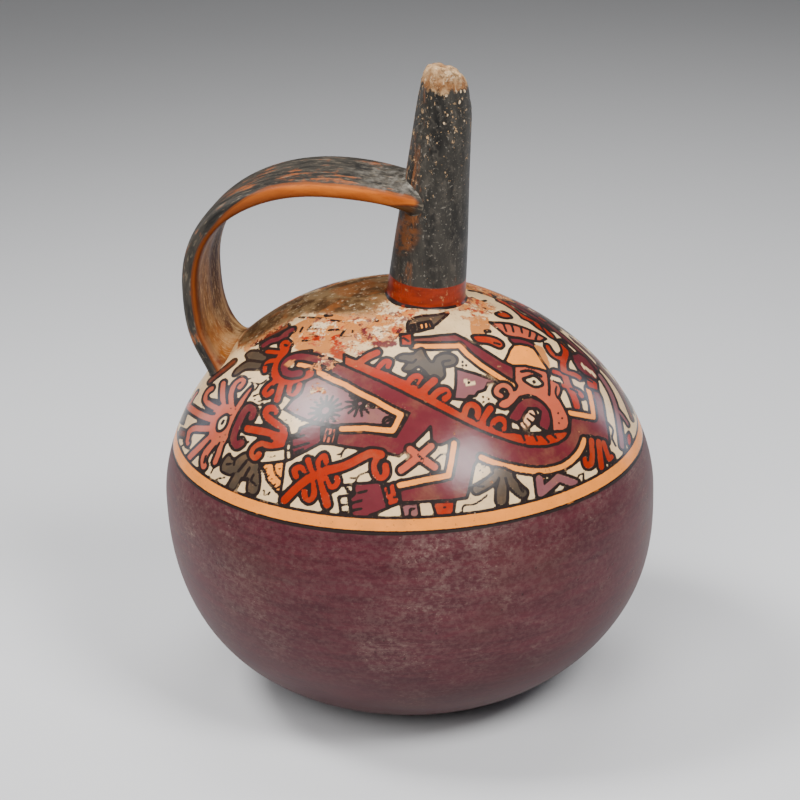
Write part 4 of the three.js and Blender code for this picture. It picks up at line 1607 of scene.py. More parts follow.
@dataclass(frozen=True)
class SpoutSlip:
    """The spout's black slip, flecked and rubbed, with a crumbled lip and a red band at its foot.

    Attributes:
        band: Height of the red band over the dome.
        joint: Where the handle joins the spout.
        scuff: Middle of the scuffed place.
    """

    band: float
    joint: Point
    scuff: Point
    band_soft: float = 0.16
    scuff_reach: float = 12.0
    chalk_reach: float = 15.0
    black: Colour = linear(28, 27, 26)
    grey: Colour = linear(60, 57, 52)
    mottled: Colour = linear(86, 80, 72)
    rust_light: Colour = linear(146, 90, 52)
    rust_dark: Colour = linear(106, 68, 44)
    flecked: Colour = linear(190, 154, 112)
    dotted: Colour = linear(206, 178, 140)
    dusty: Colour = linear(160, 152, 140)
    scuffed: Colour = linear(112, 66, 34)
    chalky: Colour = linear(136, 130, 120)
    lip_pale: Colour = linear(178, 144, 104)
    lip_brown: Colour = linear(126, 84, 50)
    lip_dark: Colour = linear(84, 60, 42)
    lip_light: Colour = linear(216, 194, 160)
    red_light: Colour = linear(138, 43, 18)
    red_dark: Colour = linear(106, 32, 15)
    scarred: Colour = linear(176, 124, 80)
    relief: float = 0.35
    gloss: float = 0.2

    def material(self) -> Material:
        """Builds the finish."""
        graph = Graph("spout_black_slip")
        rise = graph.attribute("rise")
        streak = graph.noise(7, 5, 0.64, (1, 1, 0.2), 0.4)
        coat = Coat(graph, self.black).add(streak.step(0.3, 0.7), self.grey)
        mottle = graph.noise(2.4, 5, 0.7, (1, 1, 0.7), 0.8)
        coat.add(mottle.step(0.48, 0.66) * 0.5, self.mottled)
        leftward = graph.axis("X").step(15, 3)
        rubs = graph.noise(8, 6, 0.7, (1.5, 1.5, 0.35), 1.3)
        middle = rise.step(20, 32) * rise.step(58, 44)
        rubbed = (rubs + leftward * 0.1 + middle * leftward * 0.08).step(0.64, 0.74)
        rust = graph.mix(streak.step(0.4, 0.6), self.rust_light, self.rust_dark)
        coat.add(rubbed * 0.8, rust)
        dense = rise.step(14, 60) * 0.1 + leftward * 0.05
        flecks = (graph.noise(1.3, 4, 0.68, (1, 1, 0.7), 2.1) + dense).step(0.7, 0.75)
        coat.add(flecks * 0.75, self.flecked)
        dots = graph.specks(2.6, 2.7, (1, 1, 0.7)) + graph.noise(2.4, 3, 0.6, shift=2.9) * 0.5
        dots = (dots - rise.step(44, 66) * 0.18).step(0.26, 0.18) * rise.step(46, 58)
        coat.add(dots, self.dotted)
        dust = graph.noise(0.8, 2, 0.6, shift=3.3).step(0.6, 0.72)
        coat.add(dust * 0.34, self.dusty)
        scuffs = graph.noise(4, 5, 0.7, (1, 1, 1.6), 3.5).step(0.4, 0.56)
        scuffs = graph.near(self.scuff, self.scuff_reach).step(0.1, 0.5) * scuffs
        coat.add(scuffs * 0.85, self.scuffed)
        chalk = graph.noise(4, 6, 0.74, shift=3.8).step(0.44, 0.66)
        chalk = graph.near(self.joint, self.chalk_reach) * chalk
        coat.add(chalk * 0.6, self.chalky)
        ragged = graph.noise(4, 5, 0.7, (1, 1, 0.6), 4.5)
        lip = (graph.attribute("below") + (ragged - 0.5) * 8).step(5.7, 4.7)
        bare_lip = lip.most(graph.attribute("bore"))
        coat.add(bare_lip, self.lip_clay(graph))
        wave = graph.noise(10, 2, 0.5, shift=7.4) - 0.5
        red = (rise + wave * 1.0).step(self.band + self.band_soft, self.band - self.band_soft)
        shade = graph.noise(6, 4, 0.6, (1, 1, 3), 8.2).step(0.35, 0.7)
        coat.add(red, graph.mix(shade, self.red_light, self.red_dark))
        scar = graph.noise(2.6, 5, 0.74, shift=9.3).step(0.61, 0.67)
        coat.add(red * scar * 0.6, self.scarred)
        foot = (rise + wave * 0.9).step(0.9, 0.6) * graph.noise(6, 3, 0.6, shift=10.1).step(0.38, 0.46)
        coat.add(foot, Slip.INK.rgb)
        roughness = 0.4 + bare_lip * 0.4 + flecks * 0.2 - red * 0.1
        relief = streak * 0.35 - rubbed * 0.3 - flecks * 0.4 - dots * 0.5
        relief = relief + ragged * bare_lip * 1.2 + chalk * 0.3
        return graph.finish(coat.colour, roughness, graph.bump(relief, self.relief), self.gloss)

    def lip_clay(self, graph: Graph) -> Socket:
        """Colour of the bare, crumbled clay at the lip."""
        clouds = graph.noise(5, 5, 0.7, shift=5.5).step(0.36, 0.62)
        clay = Coat(graph, self.lip_pale).add(clouds, self.lip_brown)
        cracks = graph.noise(2.4, 5, 0.74, shift=6.5).step(0.54, 0.62)
        clay.add(cracks * 0.75, self.lip_dark)
        grains = graph.noise(1.5, 4, 0.72, shift=6.9).step(0.56, 0.64)
        return clay.add(grains * 0.5, self.lip_light).colour


@dataclass(frozen=True)
class StrapSlip:
    """The strap: black slip outside, smooth orange sides and a brown, scuffed underside.

    Attributes:
        shoulder: Where the strap lands on the shoulder.
        joint: Where it joins the spout.
        drawn_out: How much longer than wide its streaks are, as a factor on the length along it.
    """

    shoulder: Point
    joint: Point
    drawn_out: float = 0.16
    chalk_reach: float = 24.0
    fade_reach: float = 26.0
    black: Colour = linear(32, 31, 30)
    grey: Colour = linear(68, 63, 56)
    worn: Colour = linear(148, 80, 38)
    hair: Colour = linear(140, 126, 106)
    orange_light: Colour = linear(180, 96, 32)
    orange_deep: Colour = linear(150, 72, 20)
    orange_stain: Colour = linear(118, 60, 26)
    orange_far: Colour = linear(116, 58, 28)
    orange_painted_shade: Colour = linear(98, 46, 16)
    under_light: Colour = linear(128, 82, 35)
    under_deep: Colour = linear(88, 49, 16)
    under_groove_painted_shade: Colour = linear(66, 34, 12)
    under_painted_highlight: Colour = linear(176, 138, 90)
    under_gold: Colour = linear(150, 84, 26)
    under_hair: Colour = linear(196, 160, 112)
    under_shade: Colour = linear(52, 34, 22)
    brim_brown: Colour = linear(74, 34, 18)
    rim_brown: Colour = linear(66, 40, 26)
    chalky: Colour = linear(142, 136, 126)
    seam_grey: Colour = linear(150, 144, 132)
    faded: Colour = linear(176, 140, 96)
    relief: float = 0.25
    gloss: float = 0.12

    def material(self) -> Material:
        """Builds the finish."""
        graph = Graph("strap_slips")
        outer = graph.attribute("outer")
        along = graph.attribute("along")
        lengthwise = self.streaks(graph, 0.5, 5.0)
        hairs = self.streaks(graph, 1.9, 4.0)
        patchy = graph.noise(17, 5, 0.64, shift=0.6)
        black = self.outside(graph, lengthwise, hairs, patchy)
        edge = (graph.noise(9, 3, 0.6, shift=1.8) - 0.5) * 0.25
        taper = along.step(15, 5)
        under = graph.mix(taper * 0.8, self.beneath(graph, lengthwise, hairs, patchy), self.under_shade)
        lower = outer + edge - taper * 0.8
        coat = Coat(graph, under).add(lower.step(-0.8, -0.7), self.sides(graph, lengthwise, patchy))
        brim = lower.step(-0.94, -0.8) * lower.step(-0.54, -0.7)
        coat.add(brim * 0.7, self.brim_brown)
        level = outer + edge * 0.8 + along.step(46, 76)
        coat.add(level.step(0.66, 0.76), black)
        rim = level.step(0.5, 0.62) * level.step(0.82, 0.7)
        coat.add(rim * 0.5, self.rim_brown)
        smear = (along + patchy * 6).step(8.0, 6.0)
        coat.add(smear, black)
        chalk = graph.noise(3.4, 6, 0.74, shift=2.4).step(0.44, 0.66)
        chalk = graph.near(self.joint, self.chalk_reach) * chalk * level.step(0.5, 0.8)
        coat.add(chalk * 0.6, self.chalky)
        seam = along.step(2.6, 1.4) * graph.noise(3, 4, 0.7, shift=4.7).step(0.44, 0.56)
        coat.add(seam * 0.5, self.seam_grey)
        fade = graph.noise(6, 6, 0.72, shift=3.6).step(0.4, 0.58)
        fade = graph.near(self.shoulder, self.fade_reach) * fade
        coat.add(fade * level.step(0.6, 0.4) * 0.6, self.faded)
        roughness = 0.42 + chalk * 0.3 + fade * 0.3 + hairs * 0.12
        relief = lengthwise * 0.6 + hairs * 0.25 + patchy * 0.3
        return graph.finish(coat.colour, roughness, graph.bump(relief, self.relief), self.gloss)

    def outside(self, graph: Graph, lengthwise: Value, hairs: Value, patchy: Value) -> Socket:
        """Colour of the black outside, worn to the clay in patches, with pale hair lines."""
        black = Coat(graph, self.black).add(lengthwise.step(0.3, 0.7), self.grey)
        worn = (patchy * 0.7 + lengthwise * 0.55).step(0.68, 0.76)
        black.add(worn * 0.8, self.worn)
        return black.add(hairs.step(0.54, 0.68) * 0.42, self.hair).colour

    def sides(self, graph: Graph, lengthwise: Value, patchy: Value) -> Socket:
        """Colour of the orange sides, browner down the strap and darkened towards the underside by painted
        shade.
        """
        orange = Coat(graph, self.orange_light).add(lengthwise.step(0.35, 0.68), self.orange_deep)
        orange.add(patchy.step(0.54, 0.72) * 0.45, self.orange_stain)
        far = graph.attribute("along").step(34, 62)
        orange.add(far * 0.7, self.orange_far)
        # Painted shade: the sides darken towards the underside.
        low = graph.attribute("outer").step(0.35, -0.75)
        return orange.add(low * 0.65, self.orange_painted_shade).colour

    def beneath(self, graph: Graph, lengthwise: Value, hairs: Value, patchy: Value) -> Socket:
        """Colour of the brown underside: a dark streak of painted shade along its groove, a painted
        highlight along one edge, a golden end and pale hairs.
        """
        across = graph.attribute("across")
        under = Coat(graph, self.under_light).add(lengthwise.step(0.32, 0.68), self.under_deep)
        # Painted shade: a dark streak along the underside's groove.
        dark = graph.apart(across, 4.0).step(5.5, 2.0)
        under.add(dark * 0.9, self.under_groove_painted_shade)
        # Painted highlight: a light streak along one edge of the underside.
        lit = graph.apart(across, 9.5).step(1.3, 0.5)
        under.add(lit * 0.55, self.under_painted_highlight)
        golden = (graph.attribute("along") + patchy * 14).step(112, 130) * across.step(6, -2)
        under.add(golden * 0.7, self.under_gold)
        return under.add(hairs.step(0.55, 0.62) * 0.5, self.under_hair).colour

    def streaks(self, graph: Graph, fineness: float, detail: float) -> Value:
        """Noise drawn out along the strap, in the coordinates that the mesh holds.

        Args:
            graph: The material's graph.
            fineness: Streaks per millimetre across the strap, about.
            detail: Octaves of finer noise.

        Returns:
            The noise's value.
        """
        sockets = {
            "X": graph.attribute("along") * self.drawn_out,
            "Y": graph.attribute("across"),
            "Z": graph.attribute("outer") * 2.0,
        }
        vector = graph.node("ShaderNodeCombineXYZ", {}, sockets).outputs["Vector"]
        settings = {"Vector": vector, "Scale": fineness, "Detail": detail, "Roughness": 0.62}
        return Value(graph, graph.node("ShaderNodeTexNoise", {}, settings).outputs["Fac"])


# Pieces

@dataclass
class Bowl:
    """The lower body: a round cup, uneven as the hand left it, with its inner wall."""

    skin: Skin
    hand: HandShape
    joint_height: float
    columns: int = 288
    outer_rows: int = 120
    upper_rows: int = 24
    inner_rows: int = 14
    inner_upper_rows: int = 6
    foot_round: float = 2.0
    foot_rings: tuple[float, ...] = (6.0, 3.0, 1.0)

    def build(self) -> Piece:
        """Builds the cup from circles with the superellipse's radius at their height, plus the wobble."""
        skin = self.skin
        share = np.linspace(0, 1, self.outer_rows)
        low = skin.belly_height * (1 - np.cos(share * math.pi / 2))
        upper = np.linspace(skin.belly_height, self.joint_height, self.upper_rows)
        heights = np.concatenate([low, upper[1:]])
        radii = np.where(heights <= skin.belly_height, skin.bowl_radius(heights), skin.dome_radius(heights))
        inner_depth = skin.belly_height - skin.floor
        inside = np.concatenate([
            np.linspace(self.joint_height, skin.belly_height, self.inner_upper_rows),
            skin.belly_height - inner_depth * np.sin(np.linspace(0, math.pi / 2, self.inner_rows)[1:-1]),
        ])
        inner_radii = np.where(
            inside >= skin.belly_height,
            skin.dome_radius(inside, skin.wall),
            skin.bowl_radius(inside, skin.wall, inner_depth),
        )
        foot = skin.foot_radius - self.foot_round * np.array(self.foot_rings)
        heights = np.concatenate([np.zeros(len(foot)), heights, inside])
        radii = np.concatenate([foot, radii, inner_radii])
        azimuth = np.linspace(0, 360, self.columns, endpoint=False)[None]
        rows = around(azimuth, radii[:, None], heights[:, None])
        wobble = self.hand.offset(azimuth, heights[:, None])
        rows = rows + skin.dome_normal(rows) * wobble[..., None]
        return Sheet(rows).build("jar_bowl")

    def dress(self, piece: Piece) -> None:
        """Gives the cup its burnished slip."""
        finish = BurnishedSlip(self.joint_height)
        place(piece, finish.material(), "purple_slip", "base_pad", "bowl_wall")


@dataclass
class Shoulder:
    """The painted shoulder, from the band's lower line up to the spout, with its inner wall."""

    skin: Skin
    hand: HandShape
    frieze: Frieze
    spout_offset: float
    hole_radius: float = 11.0
    drift_from: float = 20.0
    thin_from: float = 20.0
    thin_to: float = 60.0
    columns: int = 720
    outer_rows: int = 122
    inner_rows: int = 9

    def rows(self, runs: Array, inset: float) -> Array:
        """Rings on the dome, round the axis at the band and round the spout's foot at the top.

        Args:
            runs: Length up the dome of each ring.
            inset: Distance of the skin inside the outer one.

        Returns:
            The points of every ring: circles whose middle drifts to the spout, at the dome's height there.
        """
        azimuth = np.linspace(0, 360, self.columns, endpoint=False)[None]
        radius = self.skin.radius_at(runs) - inset * smooth(runs, self.thin_to, self.thin_from)
        radius = radius[:, None]
        drift = self.spout_offset * smooth(runs, self.drift_from, float(runs.max()))[:, None]
        flat = around(azimuth, radius, np.zeros_like(radius))
        x = flat[..., 0] + drift
        y = flat[..., 1]
        reach = np.hypot(x, y)
        height = self.skin.dome_height(reach, inset)
        return np.stack([x, y, height], axis=-1)

    def wobbled(self, points: Array) -> Array:
        """Points on the dome moved along its normal by the hand's unevenness."""
        azimuth = np.degrees(np.arctan2(points[..., 0], -points[..., 1]))
        return points + self.skin.dome_normal(points) * self.hand.offset(azimuth, points[..., 2])[..., None]

    def build(self) -> Piece:
        """Builds the shoulder and paints the frieze on it, vertex by vertex."""
        low = self.frieze.band_low
        top = float(self.skin.run_at(np.array(self.hole_radius)))
        outer = self.rows(np.linspace(low, top, self.outer_rows), 0.0)
        inner = self.rows(np.linspace(top, low, self.inner_rows), self.skin.wall)
        rows = np.concatenate([outer, inner])
        reach = np.hypot(rows[..., 0], rows[..., 1]).ravel()
        azimuth = np.degrees(np.arctan2(rows[..., 0], -rows[..., 1])).ravel()
        upright = self.skin.dome_normal(rows)[..., 2].ravel()
        spots = Spots(azimuth, self.skin.run_at(reach), reach, np.arcsin(np.clip(upright, 0, 1)))
        slip, inked = self.frieze.paint(spots)
        shape = rows.shape[:2]
        inside = np.arange(len(rows)) >= len(outer)
        wear = np.where(inside[:, None], 1.0, self.frieze.wear(spots).reshape(shape))
        inked = np.where(inside[:, None], self.frieze.reach, inked.reshape(shape))
        soil = self.frieze.soil(spots).reshape(shape)
        numbers = {"ink": inked, "wear": wear, "soil": soil}
        rows = self.wobbled(rows)
        return Sheet(rows, True, numbers, {"slip": slip.reshape(*shape, 3)}).build("jar_shoulder")

    def dress(self, piece: Piece) -> None:
        """Gives the shoulder its painted slips."""
        place(piece, PaintedSlip().material(), "cream_slip", "seam_coil", "shoulder_dome")


@dataclass
class Spout:
    """The leaning spout: a tapered tube with a fillet at its foot and a worn, slanting lip.

    Its foot stands off the jar's axis by the offset, and its tail reaches down into the jar. Where the lip
    is broken away, it falls by the bend times the square of the distance from the break's start.
    """

    skin: Skin
    offset: float = 6.85
    lean: float = 6.7
    length: float = 70.8
    foot_radius: float = 11.75
    lip_radius: float = 7.2
    swelling: float = 0.25
    bore_foot: float = 8.8
    bore_lip: float = 3.2
    lip_round: float = 4.4
    mouth_depth: float = 1.6
    tail: float = 6.0
    break_bend: float = 0.12
    break_start: float = -0.5
    lip_tilt: float = 12.0
    break_depth: float = 16.0
    crumb: float = 0.5
    dent: float = 0.12
    fillet: float = 0.9
    band: float = 6.6
    scuff_rise: float = 21.5
    scuff_turn: float = 215.0
    crease: float = 60.0
    columns: int = 144
    outer_rows: int = 150
    lip_rows: int = 18
    inner_rows: int = 30

    @property
    def axis(self) -> Array:
        """Unit vector up the spout."""
        turn = math.radians(self.lean)
        return np.array([math.sin(turn), 0.0, math.cos(turn)])

    @property
    def foot(self) -> Array:
        """Where the spout's axis meets the dome."""
        height = float(self.skin.dome_height(np.array(self.offset)))
        return np.array([self.offset, 0.0, height])

    def radius(self, rise: Array) -> Array:
        """Radius of the spout at a height along its axis, with a faint swelling half-way."""
        share = np.clip(rise / self.length, 0, 1)
        straight = self.foot_radius + (self.lip_radius - self.foot_radius) * share
        return straight + self.swelling * np.sin(share * math.pi)

    def point(self, turn: Array, radius: Array, rise: Array) -> Array:
        """Points round the spout, by the turn from its +X side, the distance from its axis and the rise."""
        lean = math.radians(self.lean)
        sideways = np.array([math.cos(lean), 0.0, -math.sin(lean)])
        axes = np.stack([sideways, np.array([0.0, 1.0, 0.0]), self.axis])
        turn, radius, rise = np.broadcast_arrays(turn, radius, rise)
        level = np.stack([radius * np.cos(turn), radius * np.sin(turn), rise], axis=-1)
        return self.foot + level @ axes

    def build(self) -> Piece:
        """Builds the tube: up the outside, over the rounded lip, down the funnel of the mouth and the bore.

        The lip is broken away on its +X side in a round fall, the square of the distance from where it
        starts. It leans down to the far side, less so further down, and is crumbled by waves round it.
        """
        turn = np.linspace(0, 2 * math.pi, self.columns, endpoint=False)[None]
        up = np.linspace(-self.tail, self.length - self.lip_round, self.outer_rows)[:, None]
        over = np.linspace(0, math.pi, self.lip_rows + 2)[1:-1, None]
        middle = (self.lip_radius + self.bore_lip) / 2
        thick = (self.lip_radius - self.bore_lip) / 2
        rounded = np.where(over < math.pi / 2, self.lip_round, self.mouth_depth)
        down = np.linspace(self.length - self.mouth_depth, -self.tail, self.inner_rows)[:, None]
        bore = self.bore_foot + (self.bore_lip - self.bore_foot) * np.clip(down / self.length, 0, 1)
        rise = np.vstack([up, self.length - rounded * (1 - np.sin(over)), down])
        radius = np.vstack([self.radius(up), middle + thick * np.cos(over), bore])
        radius = np.broadcast_to(radius, (len(rise), self.columns)).copy()
        rise = np.broadcast_to(rise, radius.shape).copy()
        outside = np.arange(len(rise))[:, None] < self.outer_rows + self.lip_rows / 2
        near = smooth(rise, self.length - self.break_depth, self.length)
        crumble = 0.5 * np.sin(3 * turn + 0.7)
        crumble = crumble + 0.3 * np.sin(7 * turn + rise / 2) + 0.2 * np.sin(13 * turn - rise)
        crumble = crumble * self.crumb
        radius += near**2 * crumble + np.where(outside, self.dent * np.sin(2 * turn + rise / 9), 0)
        beyond = radius * np.cos(turn) - self.break_start
        fall = self.break_bend * np.maximum(beyond, 0) ** 2
        tilt = math.tan(math.radians(self.lip_tilt)) * radius * np.sin(turn)
        rise += near * (crumble * near - fall - tilt)
        below = self.length - rise
        above = self.skin.stand_off(self.point(turn, radius, rise))
        radius += np.where(outside, self.fillet * hollow(above, self.fillet * 2), 0)
        rows = self.point(turn, radius, rise)
        bored = np.broadcast_to(~outside, radius.shape).astype(float)
        numbers = {"rise": np.maximum(above, 0), "bore": bored, "below": below}
        return Sheet(rows, True, numbers).build("jar_spout", self.crease)

    def side_spot(self, turn: float, rise: float) -> Point:
        """A place on the spout's side, at a turn from +X in degrees and a height along the axis."""
        spot = self.point(np.radians(turn), self.radius(np.array(rise)), np.array(rise))
        return tuple(float(c) for c in spot)

    def dress(self, piece: Piece, joint: Point) -> None:
        """Gives the spout its black slip; the handle's joint is chalky."""
        finish = SpoutSlip(self.band, joint, self.side_spot(self.scuff_turn, self.scuff_rise))
        place(piece, finish.material(), "black_slip", "spout_tube", "spout_foot_clay")


def bezier(controls: list[Array], share: Array) -> Array:
    """Points of a cubic Bezier curve in the XZ plane, at shares from 0 to 1."""
    rest = 1 - share
    weights = np.stack([rest**3, 3 * rest**2 * share, 3 * rest * share**2, share**3], axis=-1)
    return weights @ np.array(controls)


@dataclass
class Handle:
    """The strap handle, carried along two joined curves from the spout to the shoulder.

    The first curve leaves the spout at the grip, a height along it, rises at an angle and turns down at its
    reach from the axis. The second lands on the shoulder at a distance from the axis and a slope, and its
    root goes on into the wall. Each pull, the arch and the drop are how far a curve's control point lies
    from its end. The clay is the fillet at each end.
    """

    skin: Skin
    hand: HandShape
    spout: Spout
    grip: float = 29.0
    grip_rise: float = 20.0
    grip_pull: float = 41.0
    reach: float = 63.2
    reach_rise: float = 1.0
    arch: float = 30.0
    drop: float = 14.0
    landing: float = 56.4
    landing_slope: float = 58.0
    landing_pull: float = 14.0
    root: float = 5.0
    thickness: float = 6.5
    width_spout: float = 19.0
    width_arch: float = 28.0
    width_shoulder: float = 30.0
    spread: float = 35.0
    fullness: float = 3.4
    flute: float = 1.0
    ripple: float = 0.12
    wobble: float = 0.125
    sway: float = 0.3
    clay_width: float = 1.9
    clay_reach: float = 9.0
    shoulder_clay: float = 3.6
    outer_clay: float = 0.3
    sunk: float = 0.9
    crowding: float = 0.06
    crease: float = 70.0
    curve_steps: int = 400
    section_steps: int = 4001
    columns: int = 112
    rows: int = 300

    def centreline(self) -> Array:
        """The strap's middle line, evenly spaced points of X and Z."""
        spout = self.spout
        start = (spout.foot + spout.axis * self.grip)[[0, 2]]
        rise = math.radians(self.grip_rise)
        bend = np.array([-self.reach, self.skin.belly_height + self.skin.dome_rise + self.reach_rise])
        slope = math.radians(self.landing_slope)
        inward = np.array([math.cos(slope), -math.sin(slope)])
        height = float(self.skin.dome_height(np.array(self.landing)))
        end = np.array([-self.landing, height]) + inward * self.root
        first = [
            start,
            start + self.grip_pull * np.array([-math.cos(rise), math.sin(rise)]),
            bend + np.array([0, self.arch]),
            bend,
        ]
        second = [bend, bend - np.array([0, self.drop]), end - inward * self.landing_pull, end]
        share = np.linspace(0, 1, self.curve_steps)
        line = np.vstack([bezier(first, share), bezier(second, share)[1:]])
        length = lengths(line)
        even = np.linspace(0, length[-1], 2 * self.curve_steps)
        return np.stack([np.interp(even, length, line[:, 0]), np.interp(even, length, line[:, 1])], axis=-1)

    def section(self) -> tuple[Array, Array]:
        """The strap's section: across and outward shares of a superellipse, even along its edge."""
        turn = np.linspace(0, 2 * math.pi, self.section_steps)
        across = np.sign(np.cos(turn)) * np.abs(np.cos(turn)) ** (2 / self.fullness)
        outward = np.sign(np.sin(turn)) * np.abs(np.sin(turn)) ** (2 / self.fullness)
        length = lengths(np.stack([across * self.width_arch, outward * self.thickness], axis=-1))
        even = np.linspace(0, length[-1], self.columns, endpoint=False)
        return np.interp(even, length, across), np.interp(even, length, outward)

    def spout_gap(self, points: Array) -> Array:
        """Distance of points from the spout's side."""
        ray = points - self.spout.foot
        rise = ray @ self.spout.axis
        side = np.linalg.norm(ray - rise[..., None] * self.spout.axis, axis=-1)
        return side - self.spout.radius(rise)

    def spout_normal(self, points: Array) -> Array:
        """Unit vector from the spout's axis to points."""
        ray = points - self.spout.foot
        side = ray - (ray @ self.spout.axis)[..., None] * self.spout.axis
        return side / np.linalg.norm(side, axis=-1, keepdims=True)

    def build(self) -> Piece:
        """Builds the strap.

        Each point of the section draws a line along the curve. The line is cut where it sinks into the spout
        and into the dome, and its rows lie between, closer at both ends. Near each wall the section swells
        by a hollow fillet.
        """
        line = self.centreline()
        across, outward = self.section()
        ahead = np.gradient(line, axis=0)
        ahead /= np.linalg.norm(ahead, axis=1, keepdims=True)
        out = np.stack([ahead[:, 1], -ahead[:, 0]], axis=-1)
        length = lengths(line)
        points = self.drawn(line, out, length)
        share = np.linspace(0, 1, self.rows)
        share = share - self.crowding * np.sin(2 * math.pi * share)
        start, end = self.cut(points)
        index = start[:, None] + (end - start)[:, None] * share[None]
        low = np.clip(np.floor(index).astype(int), 0, len(line) - 2)
        part = (index - low)[..., None]
        column = np.arange(self.columns)[:, None]
        points = points[column, low] * (1 - part) + points[column, low + 1] * part
        facing = np.stack([np.zeros_like(across), across**3, outward**3], axis=-1)
        facing /= np.linalg.norm(facing, axis=-1, keepdims=True)
        outs = out[low] * (1 - part) + out[low + 1] * part
        normal = np.stack([
            facing[:, None, 2] * outs[..., 0],
            np.broadcast_to(facing[:, None, 1], outs.shape[:2]),
            facing[:, None, 2] * outs[..., 1],
        ], axis=-1)
        wall = self.spout_normal(points)
        points = self.swell(points, normal, self.spout_gap(points), wall, self.clay_width)
        under = (self.outer_clay + (1 - self.outer_clay) * np.clip(-outward, 0, 1))[:, None]
        wall = self.skin.dome_normal(points)
        points = self.swell(points, normal, self.dome_gap(points), wall, self.shoulder_clay * under)
        rows = points.transpose(1, 0, 2)
        numbers = {
            "across": np.broadcast_to(across * self.width_arch / 2, rows.shape[:2]),
            "outer": np.broadcast_to(outward, rows.shape[:2]),
            "along": np.broadcast_to((share * length[-1])[:, None], rows.shape[:2]),
        }
        return Sheet(rows, False, numbers).build("jar_handle", self.crease)

    def drawn(self, line: Array, out: Array, length: Array) -> Array:
        """The lines that the section's points draw along the curve.

        Args:
            line: The strap's middle line, X and Z.
            out: Unit vectors outward from it.
            length: Length along it.

        Returns:
            A line of points for each point of the section, with the flutes of the underside and the wobble.
        """
        across, outward = self.section()
        spread = np.clip(length / self.spread, 0, 1)
        width = self.width_spout + (self.width_arch - self.width_spout) * (1 - (1 - spread) ** 2)
        later = np.clip((length - self.spread) / (length[-1] - self.spread), 0, 1)
        width = width + (self.width_shoulder - self.width_arch) * later
        sideways = across[:, None] * width / 2
        underside = outward < -0.5
        fluted = self.flute * (1 - across**2) + self.ripple * np.sin(across * 9)
        lift = outward * self.thickness / 2 + np.where(underside, fluted, 0)
        wobble = self.wobble * (np.sin(length / 11 + 0.4) + 0.6 * np.sin(length / 5.3))
        lift = lift[:, None] + wobble[None]
        return np.stack([
            line[:, 0] + lift * out[:, 0],
            sideways + self.sway * np.sin(length / 17)[None],
            line[:, 1] + lift * out[:, 1],
        ], axis=-1)

    def cut(self, points: Array) -> tuple[Array, Array]:
        """Where each line leaves the spout and where it enters the dome, as places in the line."""
        half_way = points.shape[1] // 2
        start = np.argmax(self.spout_gap(points) > -self.sunk, axis=1)
        sunk = self.dome_gap(points)[:, half_way:] < -self.sunk
        end = np.where(sunk.any(axis=1), half_way + np.argmax(sunk, axis=1), points.shape[1] - 1)
        return start.astype(float), end.astype(float)

    def dome_gap(self, points: Array) -> Array:
        """Distance of points from the uneven dome."""
        azimuth = np.degrees(np.arctan2(points[..., 0], -points[..., 1]))
        return self.skin.stand_off(points) - self.hand.offset(azimuth, points[..., 2])

    def swell(self, points: Array, normal: Array, gap: Array, wall: Array, width: Array | float) -> Array:
        """Moves points near a wall outward along a hollow fillet, without moving them off the wall.

        Args:
            points: The strap's points, a line for each point of the section.
            normal: Outward normal of the strap at each point.
            gap: Distance of each point from the wall.
            wall: Outward normal of the wall there.
            width: How far the fillet spreads over the wall.

        Returns:
            The moved points.
        """
        slide = normal - np.einsum("ijk,ijk->ij", normal, wall)[..., None] * wall
        return points + slide * (width * hollow(np.maximum(gap, 0), self.clay_reach))[..., None]

    def dress(self, piece: Piece, joint: Point) -> None:
        """Gives the strap its slips; it is chalky at the spout and faded at the shoulder."""
        height = float(self.skin.dome_height(np.array(self.landing)))
        finish = StrapSlip((-self.landing, 0.0, height), joint)
        nodes = ("strap_handle", "handle_spout_clay", "handle_shoulder_clay")
        place(piece, finish.material(), "orange_slip", *nodes)


# Studio

@dataclass(frozen=True)
class Lamp:
    """A soft box, placed by its turn from the camera's side and its height over the horizon.

    Its distance, width and height are metres and its power watts. A lamp that isn't mirrored makes no
    highlight.
    """

    name: str
    azimuth: float
    elevation: float
    distance: float
    width: float
    height: float
    power: float
    colour: Colour = (1.0, 1.0, 1.0)
    mirrored: bool = True


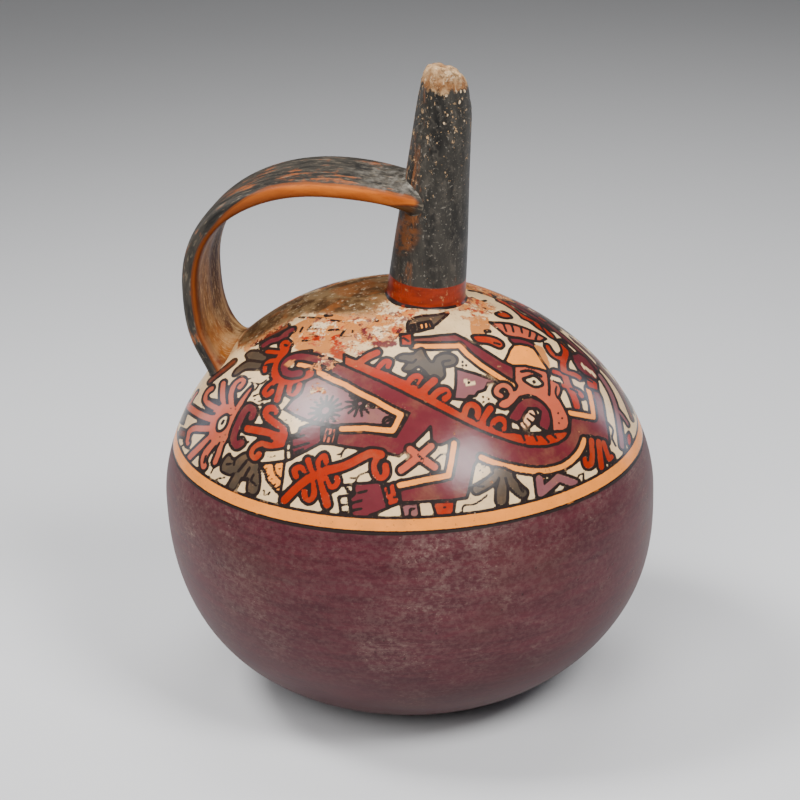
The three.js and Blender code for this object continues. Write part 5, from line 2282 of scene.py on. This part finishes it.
@dataclass(frozen=True)
class Studio:
    """A pale floor and soft boxes, turned with the camera; the floor's sizes are metres."""

    floor_width: float = 6.0
    floor_front: float = -2.0
    floor_back: float = 4.0
    floor_rows: int = 80
    sweep_from: float = 1.2
    sweep: float = 0.55
    paper: Colour = linear(206, 206, 207)
    paper_shade: Colour = linear(200, 200, 202)
    lamps: tuple[Lamp, ...] = (
        Lamp("left_box", -93, 56, 1.1, 0.34, 0.34, 1.5),
        Lamp("front_right_box", 40, 47, 1.2, 0.42, 0.42, 2.0),
        Lamp("front_fill", -20, 38, 1.5, 0.9, 0.9, 3.2, mirrored=False),
        Lamp("top_box", 165, 72, 1.3, 0.8, 0.6, 1.1),
        Lamp("left_strip", -130, 12, 1.2, 0.25, 0.8, 0.2, (0.8, 0.86, 1.0)),
        Lamp("right_strip", 128, 12, 1.2, 0.25, 0.8, 0.4, (0.8, 0.86, 1.0)),
    )
    lamp_spread: float = 62.0
    aim_height: float = 0.08
    room_colour: Colour = (0.9, 0.93, 1.0)
    room_strength: float = 0.05

    def floor(self) -> Piece:
        """Makes the floor, which sweeps up far behind the jar by the square of the distance."""
        across = np.linspace(-self.floor_width / 2, self.floor_width / 2, 3)
        run = np.linspace(self.floor_front, self.floor_back, self.floor_rows)
        rise = self.sweep * np.maximum(run - self.sweep_from, 0) ** 2
        back = -np.array(PHOTO.toward(0, 0))
        side = np.array([-back[1], back[0], 0.0])
        points = run[:, None, None] * back + across[None, :, None] * side
        points = points + rise[:, None, None] * np.array([0, 0, 1.0])
        index = np.arange(run.size * 3).reshape(run.size, 3)
        quads = np.stack([index[:-1, :-1], index[1:, :-1], index[1:, 1:], index[:-1, 1:]], axis=-1)
        mesh = bpy.data.meshes.new("floor")
        mesh.from_pydata(points.reshape(-1, 3).tolist(), [], quads.reshape(-1, 4)[:, ::-1].tolist())
        mesh.polygons.foreach_set("use_smooth", np.ones(len(mesh.polygons), dtype=bool))
        item = bpy.data.objects.new("floor", mesh)
        bpy.context.scene.collection.objects.link(item)
        graph = Graph("floor_paper")
        grain = graph.noise(40, 3, 0.5)
        colour = graph.mix(grain * 0.3, self.paper, self.paper_shade)
        item.data.materials.append(graph.finish(colour, 0.8, graph.bump(grain, 0.02), 0.2))
        item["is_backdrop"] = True
        return item

    def light(self) -> None:
        """Hangs the soft boxes and sets the room's faint light."""
        for lamp in self.lamps:
            data = bpy.data.lights.new(lamp.name, "AREA")
            data.shape = "RECTANGLE"
            data.size = lamp.width
            data.size_y = lamp.height
            data.energy = lamp.power
            data.spread = math.radians(self.lamp_spread)
            data.color = lamp.colour
            item = bpy.data.objects.new(lamp.name, data)
            item.visible_glossy = lamp.mirrored
            aim = Vector((0, 0, self.aim_height))
            item.location = aim + PHOTO.toward(lamp.azimuth, lamp.elevation) * lamp.distance
            item.rotation_euler = (aim - item.location).to_track_quat("-Z", "Y").to_euler()
            bpy.context.scene.collection.objects.link(item)
        world = bpy.data.worlds.new("room")
        world.use_nodes = True
        back = world.node_tree.nodes["Background"]
        back.inputs["Color"].default_value = (*self.room_colour, 1.0)
        back.inputs["Strength"].default_value = self.room_strength
        bpy.context.scene.world = world


def corners(box: object) -> list:
    """A box's two corners as plain lists."""
    return [[float(c) for c in corner] for corner in box]


def main() -> None:
    """Builds the jar piece by piece, then the studio, and works out the sizes of the CAD parts and of the
    model.
    """
    logging.basicConfig(level=logging.INFO, format="%(name)s: %(message)s")
    skin = Skin()
    hand = HandShape()
    frieze = Frieze(skin)
    spout = Spout(skin)
    handle = Handle(skin, hand, spout)
    low = float(skin.dome_height(skin.radius_at(np.array(frieze.band_low))))
    bowl = Bowl(skin, hand, low)
    shoulder = Shoulder(skin, hand, frieze, spout.offset)
    joint = spout.side_spot(180.0, handle.grip)
    bowl.dress(bowl.build())
    shoulder.dress(shoulder.build())
    spout.dress(spout.build(), joint)
    handle.dress(handle.build(), joint)
    studio = Studio()
    studio.floor()
    studio.light()
    PHOTO.build()
    {"cad": corners(CAD_BOX), "model": corners(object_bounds())}


if __name__ == "__main__":
    main()
